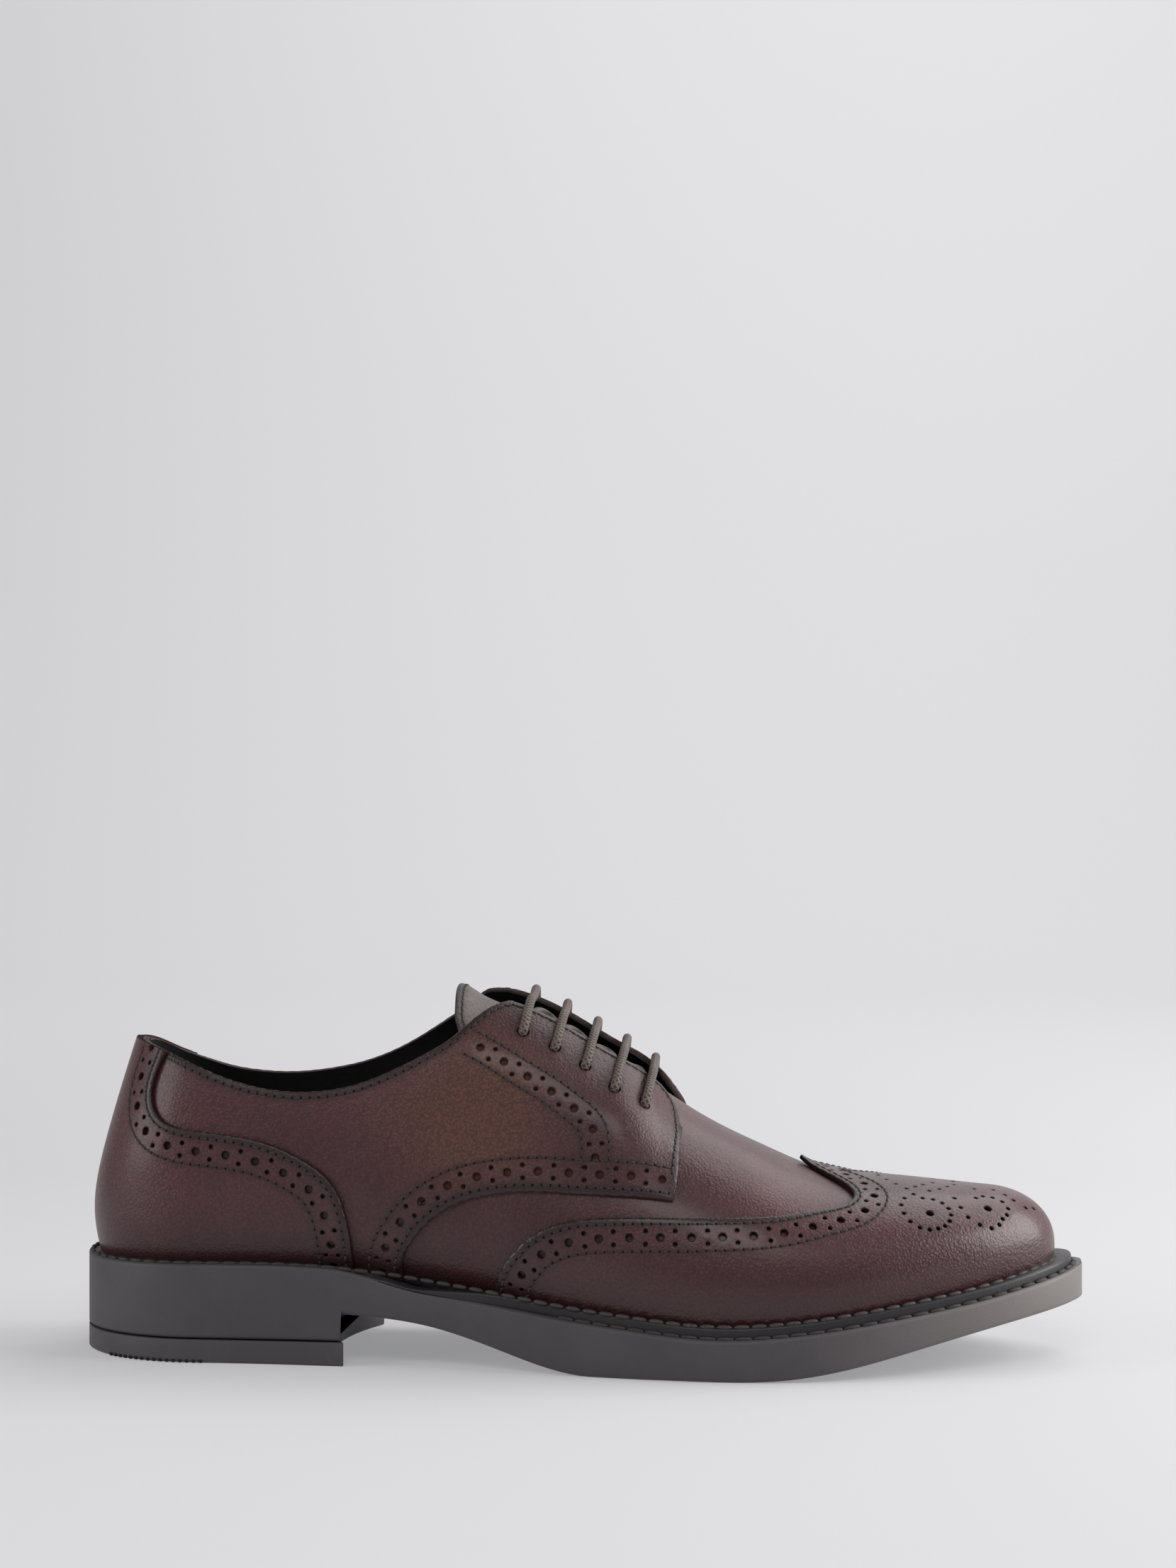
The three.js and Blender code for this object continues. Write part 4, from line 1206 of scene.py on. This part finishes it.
SCROLLS = (
    {"along": .8731, "climb": .599, "first": 92, "step": -24.8,
     "radius": (7.5, 7.4, 7.2, 6.9, 6.6, 6.3, 6.1, 6.0, 6.5, 7.1, 7.6, 8.0, 8.7, 9.4, 10.1)},
    {"along": .9323, "climb": .636, "first": 108, "step": -26.5,
     "radius": (5.7, 6.6, 6.9, 7.3, 7.2, 6.2, 5.4, 6.4, 7.5, 7.9, 8.5, 8.6, 10.1)},
)
SPRAYS = (
    (.8498, .822), (.8587, .854), (.8668, .892), (.8771, .943), (.8835, .846), (.8918, .896), (.8993, .947),
    (.839, .871), (.8294, .926), (.8207, .983), (.9202, .894),
    (.9398, .897), (.9512, .829), (.9592, .768), (.9706, .710), (.9787, .767),
)
TAILS = ((-.1, 12.3), (2.9, 15.1), (5.3, 19.1), (7.4, 23.1))


def medallion():
    """A scrolled rosette of dots on the toe, as brogues have, mirrored over the ridge."""
    big, small = [], []
    for side in SIDES:
        for scroll in SCROLLS:
            place = np.array([share_of(scroll["along"]), side * (1 - scroll["climb"])])
            big.append(place[None])
            radius = np.array(scroll["radius"])
            angle = np.radians(scroll["first"] + scroll["step"] * np.arange(len(radius))) * -side
            spot = np.tile(place, (len(radius), 1))
            for _ in range(4):
                axes = axes_on(top_chart, spot, wing_outer)
                first, second = circle_axes(axes)
                move = radius[:, None] * (np.cos(angle)[:, None] * first + np.sin(angle)[:, None] * second)
                spot = spot + chart_step(axes, move / 4)
            small.append(spot)
        hole = on_form(top_chart, big[-2], wing_outer)[0]
        tail = np.array([(hole[0] + ahead, hole[1] - side * over) for ahead, over in TAILS])
        small.append(find_on_form(top_chart, tail, (0, 1), wing_outer, (0.6, -0.6), (0.95, 0.6)))
        spray = np.array(SPRAYS)
        small.append(np.stack([share_of(spray[:, 0]), side * (1 - spray[:, 1])], -1))
    return np.concatenate(big), np.concatenate(small)


def wing_tip_lift(base):
    """The wing's peak curls up a millimetre from the vamp."""
    tip = on_form(top_chart, np.array([[share_of(wing_along(1.0)), 0.0]]), wing_outer)[0]
    away = np.linalg.norm(base - tip, axis=1)
    return np.clip(1 - away / 8, 0, 1) ** 2


def make_wing():
    edge = wing_edge_line()
    rows, holes = band(top_chart, edge, wing_outer, -1, 1, 1)
    holes += punched(*medallion())
    outline = closed_round_toe(edge, 260)
    return cut_panel("wing_cap_leather", top_chart, outline, wing_outer, plain_growth(GAP),
                     [wing_leather, under_leather, shaded_raw_edge], [edge[::-1]], holes, np.concatenate(rows),
                     seam_end=TOE_END, shape=wing_tip_lift)


# Heel counter
def make_counter():
    holes, pricks, shown = [], [], []
    half = {side: down_to_feather(edges[side]["counter"]) for side in SIDES}
    halves = [from_back(side_edge(inner_collar(side)[:6], side, counter_outer), COLLAR, counter_outer)
              for side in SIDES]
    collar = np.concatenate([halves[0][::-1], halves[1][1:]])
    reach = (half[-1][0, 0], half[1][0, 0])
    top = collar[(collar[:, 0] > reach[0]) & (collar[:, 0] < reach[1])]
    near = half[-1][half[-1][:, 1] < top[0, 1]]
    far = half[1][half[1][:, 1] < top[-1, 1]]
    bottom = along_feather(far[-1, 0], near[-1, 0], 140)
    closed = np.concatenate([top, far, bottom, near[::-1]])
    for side in SIDES:
        rows, punches = band(side_chart, half[side], counter_outer, side, 1, 1, closed)
        pricks += rows
        holes += punches
        shown.append(edges[side]["counter"][::side])
    return cut_panel("counter_leather", side_chart, closed, counter_outer,
                     quarter_growth(QUARTER_PROUD + 0.05), [counter_leather, under_leather, shaded_raw_edge],
                     shown, holes, np.concatenate(pricks))


# Lining of the quarters
def make_lining():
    lines = {}
    lining_outer = quarter_growth(0.02)
    for side in SIDES:
        lower = side_edge(set_back(QUARTER_LOWER, 8.6), side, lining_outer)
        front = edges[side]["front"]
        lines[side] = {**edges[side], "lower": lower[::-1], "front": front[front[:, 1] > lower[-1, 1]]}
    lining_inner = quarter_growth(QUARTER_PROUD - QUARTER_WALL)
    return cut_panel("quarter_lining", side_chart, quarter_outline(lines), lining_outer, lining_inner,
                     [under_leather, black_lining, black_lining], spacing=2.2)


# Tongue
def tongue_face(along, around):
    return tongue_lie(along)


def tongue_back(along, around):
    return tongue_lie(along) - TONGUE_THICKNESS


def make_tongue():
    at = np.linspace(TONGUE["at"][0], TONGUE["at"][-1], 120)
    x = HEEL_MARGIN + at * LAST_LENGTH
    sides = []
    for side in SIDES:
        plan = np.stack([x, side * tongue_half(at) * BALL_WIDTH], -1)
        low, high = ((0.3, -0.6), (0.7, 0.0)) if side < 0 else ((0.3, 0.0), (0.7, 0.6))
        sides.append(find_on_form(top_chart, plan, (0, 1), tongue_face, low, high))
    near, far = sides
    back = np.linspace(near[0], far[0], 30)
    back[:, 0] -= 0.003 * np.sin(math.pi * np.linspace(0, 1, 30))
    front = np.linspace(far[-1], near[-1], 30)
    edge = np.concatenate([near[::-1], back[1:], far[1:]])
    closed = np.concatenate([edge, front[1:-1]])
    row = seam_row(top_chart, offset_line(top_chart, edge, -2.2, tongue_face), tongue_face, 4, 4)
    return cut_panel("tongue_leather", top_chart, closed, tongue_face, tongue_back,
                     [tongue_leather, black_lining, shaded_raw_edge], [edge[::-1]], [], row, spacing=1.8)


# Lace
def facing_points(along, side, inward, height):
    """Points over the facing: inward from the eyelets' row towards the throat, and off the leather's face."""
    along, inward, height = (np.array(row, float) for row in (along, inward, height))
    around = around_at_half(along, side, (throat_half(along) + eyelet_inset(along)) * BALL_WIDTH - inward)
    reach = quarter_outer(along, around) + height
    return last_point(along, around) + last_normal(along, around) * reach[:, None]


CORD_PITCH = 0.45

# Each crossing under the facings: how wide it spans, and how far off the last it lies on its way over
CROSSING_HALF = 0.28
CROSSING = {
    "share": (.2, .35, .5, .65, .8),
    "lie": (2.4, .7, .2, .7, 2.4),
}


def lace_route():
    """Parallel bars from each near eyelet over to the far one, and back to the next underneath."""
    radius = LACE_DIAMETER / 2
    over = radius + GAP
    under = -(QUARTER_WALL + GAP + radius)
    places = EYELETS["at"][::-1]
    crossing, lie = np.array(CROSSING["share"]), np.array(CROSSING["lie"])
    halves = []
    for side, slant in ((-1, 0), (1, LACE_SLANT)):
        along, inward, height = [], [], []
        for i, place in enumerate(places):
            at = place + slant
            inset = float(eyelet_inset(at)) * BALL_WIDTH
            # each passage is (inward, height): up through the eyelet and over the facing to the throat
            tail = -1.5 if i == 0 and side < 0 else 2.2
            passage = [(tail, under), (0.3, under + 0.9), (0, -QUARTER_WALL / 2), (0.2, over - 0.9),
                       (1.6, over + 0.1), (0.6 * inset, over + 0.2), (0.95 * inset, over + 0.2)]
            along += [at] * len(passage)
            inward += [p[0] for p in passage]
            height += [p[1] for p in passage]
        halves.append(facing_points(along, side, inward, height).reshape(len(places), -1, 3))
    points = []
    for i, place in enumerate(places):
        near, far = halves[0][i], halves[1][i][::-1]
        between = near[-1] + (far[0] - near[-1]) * np.array([[0.3], [0.5], [0.7]])
        points += [near, between, far]
        if i + 1 < len(places):
            along = place + LACE_SLANT + (places[i + 1] - place - LACE_SLANT) * crossing
            around = CROSSING_HALF * (1 - 2 * crossing)
            points.append(last_point(along, around) + last_normal(along, around) * lie[:, None])
    return np.concatenate(points)


def tube_faces(count, sides):
    """The faces of a tube made of rings, with a cap at each end."""
    faces = []
    for i in range(count - 1):
        here, after = i * sides, (i + 1) * sides
        for j in range(sides):
            turn = (j + 1) % sides
            faces.append((after + j, after + turn, here + turn, here + j))
    last_ring = (count - 1) * sides
    return faces + [tuple(range(sides)), tuple(last_ring + j for j in reversed(range(sides)))]


def sweep(name, route, radius, sides, material):
    """A round cord along a route, with a map of its run and turn."""
    run = length_along(route)
    at = np.linspace(0, run[-1], int(run[-1] / CORD_PITCH))
    line = curve_at(route, run, at)
    ahead = unit(np.gradient(line, axis=0))
    side = np.zeros_like(line)
    side[0] = unit(np.cross(ahead[0], [0.3, 1, 0.2]))
    for i in range(1, len(line)):
        side[i] = unit(side[i - 1] - ahead[i] * (side[i - 1] @ ahead[i]))
    up = np.cross(ahead, side)
    cos, sin = circle_steps(sides)
    rings = line[:, None] + radius * (cos * side[:, None] + sin * up[:, None])
    count = len(line)
    faces = tube_faces(count, sides)
    piece = piece_from(name, rings.reshape(-1, 3), faces, [material], smooth_angle=60)
    layer = piece.data.uv_layers.new(name="run")
    for polygon in piece.data.polygons:
        columns = [v % sides for v in polygon.vertices]
        wraps = max(columns) - min(columns) > 1 and len(columns) == 4
        for loop, v in zip(polygon.loop_indices, polygon.vertices):
            column = v % sides
            if wraps and column == 0:
                column = sides
            layer.data[loop].uv = (at[min(v // sides, count - 1)], column / sides)
    return piece


# Bottom
def slab(name, stations, columns, plan, top, bevels, material):
    """A slab made from a grid that is drawn out into a block, its heights set by place and its rims bevelled.

    plan gives x and y and the underside's height for each row and share across, top the upper face's
    height, and bevels the widths at the lower and at the upper rim.
    """
    deselect()
    bpy.ops.mesh.primitive_grid_add(x_subdivisions=stations, y_subdivisions=columns, size=2)
    piece = bpy.context.object
    piece.name = piece.data.name = name
    bpy.ops.object.mode_set(mode="EDIT")
    bpy.ops.mesh.select_all(action="SELECT")
    bpy.ops.mesh.extrude_region_move(TRANSFORM_OT_translate={"value": (0, 0, -1)})
    bpy.ops.mesh.select_all(action="SELECT")
    bpy.ops.mesh.normals_make_consistent(inside=False)
    bpy.ops.object.mode_set(mode="OBJECT")
    mesh = piece.data
    co = np.array([v.co for v in mesh.vertices])
    across = (co[:, 1] + 1) / 2
    is_top = co[:, 2] > -0.5
    row = np.rint((co[:, 0] + 1) / 2 * stations).astype(int)
    xy, low = plan(row, across, is_top)
    z = np.where(is_top, top(xy[:, 0]), low)
    placed = (np.concatenate([xy, z[:, None]], 1) + shift) * MM
    mesh.vertices.foreach_set("co", placed.astype(np.float32).ravel())
    mesh.update()
    mesh.materials.append(material)
    weights = mesh.attributes.new("bevel_weight_edge", "FLOAT", "EDGE")
    from_end = np.clip(np.minimum(row, stations - row) / 9, 0.2, 1)
    for edge in mesh.edges:
        a, b = edge.vertices
        if is_top[a] == is_top[b] and along_rim(a, b, row, across, stations):
            width = bevels[1] if is_top[a] else bevels[0]
            weights.data[edge.index].value = width / max(bevels) * min(from_end[a], from_end[b])
    round_rim = piece.modifiers.new("round_rim", "BEVEL")
    round_rim.limit_method = "WEIGHT"
    round_rim.width = max(bevels) * MM
    round_rim.segments = 4
    round_rim.use_clamp_overlap = False
    bpy.context.view_layer.objects.active = piece
    bpy.ops.object.modifier_apply(modifier="round_rim")
    finish_piece(piece, 35)
    return piece


def along_rim(a, b, row, across, stations):
    """Whether the edge between two corners of the block runs along its rim."""
    same_side = abs(across[a] - across[b]) < 1e-6 and (across[a] < 1e-6 or across[a] > 1 - 1e-6)
    same_end = row[a] == row[b] and row[a] in (0, stations)
    return same_side or same_end


# The sole's first and last station, short of the heel's and the toe's tip, and its rows from heel to toe
SOLE_ENDS = (0.012, 0.988)
SOLE_STATIONS = 150


def between(near, far, row, across):
    """Plan places between the outer and the inner outline."""
    return near[row] * (1 - across)[:, None] + far[row] * across[:, None]


def sole_sides(along):
    return sole_outline(along, -1, 0), sole_outline(along, 1, 0)


def breast_hollow(across):
    """How far the heel's front face is hollowed towards the back."""
    return BREAST_HOLLOW * (1 - (2 * across - 1) ** 2)


def make_outsole():
    near, far = sole_sides(along_of(np.linspace(*SOLE_ENDS, SOLE_STATIONS)))
    breast = int(np.abs(near[:, 0] - BREAST_FROM_BACK).argmin())

    def plan(row, across, is_top):
        """One station stands double at the heel's front face."""
        xy = between(near, far, np.where(row > breast, row - 1, row), across)
        at_breast = (row == breast) | (row == breast + 1)
        hollow = breast_hollow(across)
        xy[:, 0] = np.where(at_breast & ~is_top, xy[:, 0] - hollow, xy[:, 0])
        xy[:, 0] = np.where(at_breast & is_top & (row == breast), xy[:, 0] - 0.05, xy[:, 0])
        low = np.where(row <= breast, LIFT_THICKNESS + GAP, underside_height(xy[:, 0]))
        return xy, low

    piece = slab("outsole_rubber", SOLE_STATIONS, 16, plan, seat_height, (1.5, 1.1), sole_rubber)
    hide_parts("outsole")
    return piece


def make_lift():
    stations, easing = 60, 12
    whole = along_of(np.linspace(*SOLE_ENDS, SOLE_STATIONS))
    breast = share_of(np.interp(BREAST_FROM_BACK, sole_outline(whole, -1, 0)[:, 0], whole))
    near, far = sole_sides(along_of(np.linspace(SOLE_ENDS[0], float(breast), stations + 1)))

    def plan(row, across, is_top):
        """The hollow of the front face eases out over the stations behind it."""
        xy = between(near, far, row, across)
        hollow = breast_hollow(across)
        from_front = stations - row
        eased = np.where(from_front < easing, hollow * 0.9 * (easing - from_front) / easing, 0)
        xy[:, 0] -= np.where(from_front == 0, hollow, np.where(from_front == 1, hollow * 0.9, eased))
        return xy, np.zeros(len(row))

    piece = slab("heel_lift_rubber", stations, 12, plan,
                 lambda x: np.full(len(x), float(LIFT_THICKNESS)), (1.4, 0.35), sole_rubber)
    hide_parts("heel_lift")
    return piece


def make_tread():
    """Short ribs of the heel's tread that show along the outer half of its lower edge."""
    rib = Thread(TREAD_RIB)
    first_x, last_x, height = 12, 44, 0.6
    edge = sole_outline(along_of(np.linspace(0.10, 0.36, 400)), -1, 0.25)
    edge = edge[(edge[:, 0] > first_x) & (edge[:, 0] < last_x)]
    line = np.insert(edge, 2, height, axis=1)
    run = length_along(line)
    rib.lie_flat(line, run, np.arange(0.8, run[-1], TREAD_PITCH))
    piece = rib.make("tread_ribs", tread_rubber)
    return piece


def layers_at(along):
    """How thick the leathers above the sole are, from the last outwards."""
    return GAP + OVERLAY + GAP + QUARTER_PROUD * (1 - smooth_step(along, 0.29, 0.33))


def on_low_wall(along, side, climb, growth):
    """Points a little above the sole, on leathers of a given thickness, and the way out from them."""
    around = side * np.full(len(along), 1 - climb)
    out = last_normal(along, around)
    return last_point(along, around) + out * np.reshape(growth, (-1, 1)), out


def make_welt():
    """A strip round the forepart, tapered at the waist, whose top edge is rounded."""
    edge_radius, least_height, taper = 0.8, 0.25, 0.13
    start = (WELT_START + 2 - HEEL_MARGIN) / LAST_LENGTH
    half = along_of(np.linspace(float(share_of(start)), 0.9995, 170))
    outer, inner = [], []
    for side in SIDES:
        along = half[::-side]
        outer.append(sole_outline(along, side, LEDGE_WIDTH * smooth_step(along, 0.36, 0.5) + 0.1))
        inner.append(on_low_wall(along, side, 0.06, layers_at(along) * 0.55)[0][:, :2])
    along = np.concatenate([half, half[::-1]])
    outer, inner = np.concatenate(outer), np.concatenate(inner)
    low = seat_height(outer[:, 0]) + GAP * 0.3
    full_height = rim_height(outer[:, 0]) - low
    rim = low + np.maximum(least_height, full_height * smooth_step(along, start, start + taper))
    inward = unit(inner - outer)
    width = np.linalg.norm(inner - outer, axis=1)
    radius = np.minimum(edge_radius, (rim - low) * 0.4)
    profile = [(np.zeros(len(outer)), low)]
    for angle in np.linspace(0, math.pi / 2, 5):
        profile.append((radius * (1 - math.cos(angle)), rim - radius + radius * math.sin(angle)))
    profile += [(width * 0.5, rim), (width, rim), (width, low)]
    rings = np.stack([np.concatenate([outer + inward * inset[:, None], height[:, None]], 1)
                      for inset, height in profile], 1)
    faces = tube_faces(len(rings), len(profile))
    piece = piece_from("welt_strip", rings.reshape(-1, 3), faces, [welt_rubber])
    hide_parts("welt")
    return piece


def make_insole():
    stations = 90
    along = along_of(np.linspace(0.03, 0.97, stations + 1))
    near, far = (on_low_wall(along, side, 0.07, -(VAMP_WALL + GAP + 0.2))[0][:, :2] for side in SIDES)

    def plan(row, across, is_top):
        xy = between(near, far, row, across)
        return xy, seat_height(xy[:, 0]) + GAP

    piece = slab("sock", stations, 10, plan,
                 lambda x: seat_height(x) + GAP + INSOLE_THICKNESS, (0.3, 0.8), sock_leather)
    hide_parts("insole")
    return piece


def rim_line(along, side):
    """Where the rim's stitches lie, next to the upper."""
    wall, out = on_low_wall(along, side, 0.1, 0.0)
    out[:, 2] = 0
    plan = (wall + unit(out) * (layers_at(along) + 0.9)[:, None])[:, :2]
    return np.concatenate([plan, rim_height(plan[:, :1]) + 0.2], 1)


def ledge_line(along, side):
    """Where the ledge's stitches lie, outside the welt."""
    plan = sole_outline(along, side, LEDGE_WIDTH - 0.55)
    return np.concatenate([plan, seat_height(plan[:, :1]) + 0.25], 1)


def stitch_row(name, size, line_at, along, closed, pitch, material):
    """A row of stitches round the toe, and on round the heel where it is closed."""
    near, far = line_at(along, -1), line_at(along, 1)[::-1]
    line = np.concatenate([near, far, near[:1]] if closed else [near, far])
    run = length_along(line)
    count = int(run[-1] / pitch)
    thread = Thread(size)
    thread.lie_flat(line, run, (np.arange(count) + 0.5) * run[-1] / count)
    return thread.make(name, material)


def make_sole_stitches():
    """The row on the rim next to the upper all round, and the row on the ledge of the forepart."""
    along = along_of(np.linspace(0.004, 0.996, 1500))
    rim = stitch_row("welt_stitches", RIM_STITCH, rim_line, along, True, RIM_PITCH, sole_thread)
    ledge = stitch_row("ledge_stitches", LEDGE_STITCH, ledge_line, along[along >= 0.5], False, LEDGE_PITCH,
                       ledge_thread)
    return rim, ledge


def dress():
    quarters = make_quarters()
    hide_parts("upper")
    for piece in (make_vamp(), make_lining()):
        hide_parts("upper")
    wing = make_wing()
    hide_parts("wing_cap")
    counter = make_counter()
    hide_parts("heel_counter")
    tongue = make_tongue()
    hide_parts("tongue")
    lace = sweep("lace_cord", lace_route(), LACE_DIAMETER / 2, 12, lace_finish())
    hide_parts("lace")
    stitches = upper_thread.make("upper_stitches", dark_thread)
    make_outsole()
    make_lift()
    make_welt()
    make_insole()
    make_tread()
    for row in make_sole_stitches():
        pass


# Studio
CAMERA_DISTANCE = 0.950
CAMERA_HEIGHT = 0.1728
CAMERA_TURN = math.radians(5.5)
CAMERA_SIDE = -0.0023
FOCAL_PIXELS = 4377.4
IMAGE_HEIGHT = 2212


def make_camera():
    data = bpy.data.cameras.new("camera")
    data.sensor_width = 36
    data.lens = FOCAL_PIXELS * 36 / IMAGE_HEIGHT
    data.clip_end = 50
    camera = bpy.data.objects.new("camera", data)
    right = Vector((math.cos(CAMERA_TURN), math.sin(CAMERA_TURN), 0))
    ahead = Vector((-math.sin(CAMERA_TURN), math.cos(CAMERA_TURN), 0))
    camera.location = -ahead * CAMERA_DISTANCE - right * CAMERA_SIDE + Vector((0, 0, CAMERA_HEIGHT))
    camera.rotation_euler = (math.pi / 2, 0, CAMERA_TURN)
    bpy.context.scene.collection.objects.link(camera)
    bpy.context.scene.camera = camera


def make_studio():
    """A seamless pale sweep behind the shoe, one large soft light above and a fill from the front."""
    deselect()
    bpy.ops.mesh.primitive_grid_add(x_subdivisions=2, y_subdivisions=48, size=1)
    sweep_sheet = bpy.context.object
    sweep_sheet.name = "backdrop"
    front, back, radius, width, height = -2.4, 1.6, 1.4, 8.0, 4.0
    for vertex in sweep_sheet.data.vertices:
        share = vertex.co.y + 0.5
        x = vertex.co.x * width
        if share < 0.4:
            place = (x, front + (back - front) * share / 0.4, 0)
        elif share < 0.8:
            turn = (share - 0.4) / 0.4 * math.pi / 2
            place = (x, back + radius * math.sin(turn), radius * (1 - math.cos(turn)))
        else:
            place = (x, back + radius, radius + (share - 0.8) / 0.2 * height)
        vertex.co = place
    sweep_sheet.data.polygons.foreach_set("use_smooth", [True] * len(sweep_sheet.data.polygons))
    finish = Finish("paper")
    finish.set(Base_Color=(0.42, 0.415, 0.425), Roughness=0.95, Specular_IOR_Level=0.0,
               Emission_Color=(0.97, 0.975, 1.0), Emission_Strength=0.28)
    sweep_sheet.data.materials.append(finish.material)
    world = bpy.data.worlds.new("studio")
    bpy.context.scene.world = world
    world.use_nodes = True
    background = world.node_tree.nodes["Background"]
    background.inputs["Color"].default_value = (0.93, 0.93, 0.96, 1)
    background.inputs["Strength"].default_value = 0.12

    def soft_light(name, place, target, size, power, color=(1, 1, 1)):
        data = bpy.data.lights.new(name, "AREA")
        data.shape = "RECTANGLE"
        data.size, data.size_y = size
        data.energy = power
        data.color = color
        lamp = bpy.data.objects.new(name, data)
        lamp.location = place
        direction = Vector(target) - Vector(place)
        lamp.rotation_euler = direction.to_track_quat("-Z", "Y").to_euler()
        bpy.context.scene.collection.objects.link(lamp)

    soft_light("top_box", (0.60, 0.55, 1.20), (0.05, 0, 0), (1.3, 0.9), 9)
    soft_light("toe_light", (1.15, 0.05, 0.50), (0.10, 0, 0.03), (1.0, 0.8), 17)
    soft_light("heel_light", (-1.25, -0.50, 0.50), (-0.05, 0, 0.05), (0.8, 0.7), 7)
    soft_light("front_fill", (0.05, -1.30, 1.20), (0, 0, 0.05), (0.9, 0.5), 7)
    soft_light("paper_light", (0.25, 1.1, 1.9), (0.15, 2.8, 1.3), (1.8, 0.8), 42)
    scene = bpy.context.scene
    scene.view_settings.view_transform = "Standard"


make_camera()
make_studio()
dress()
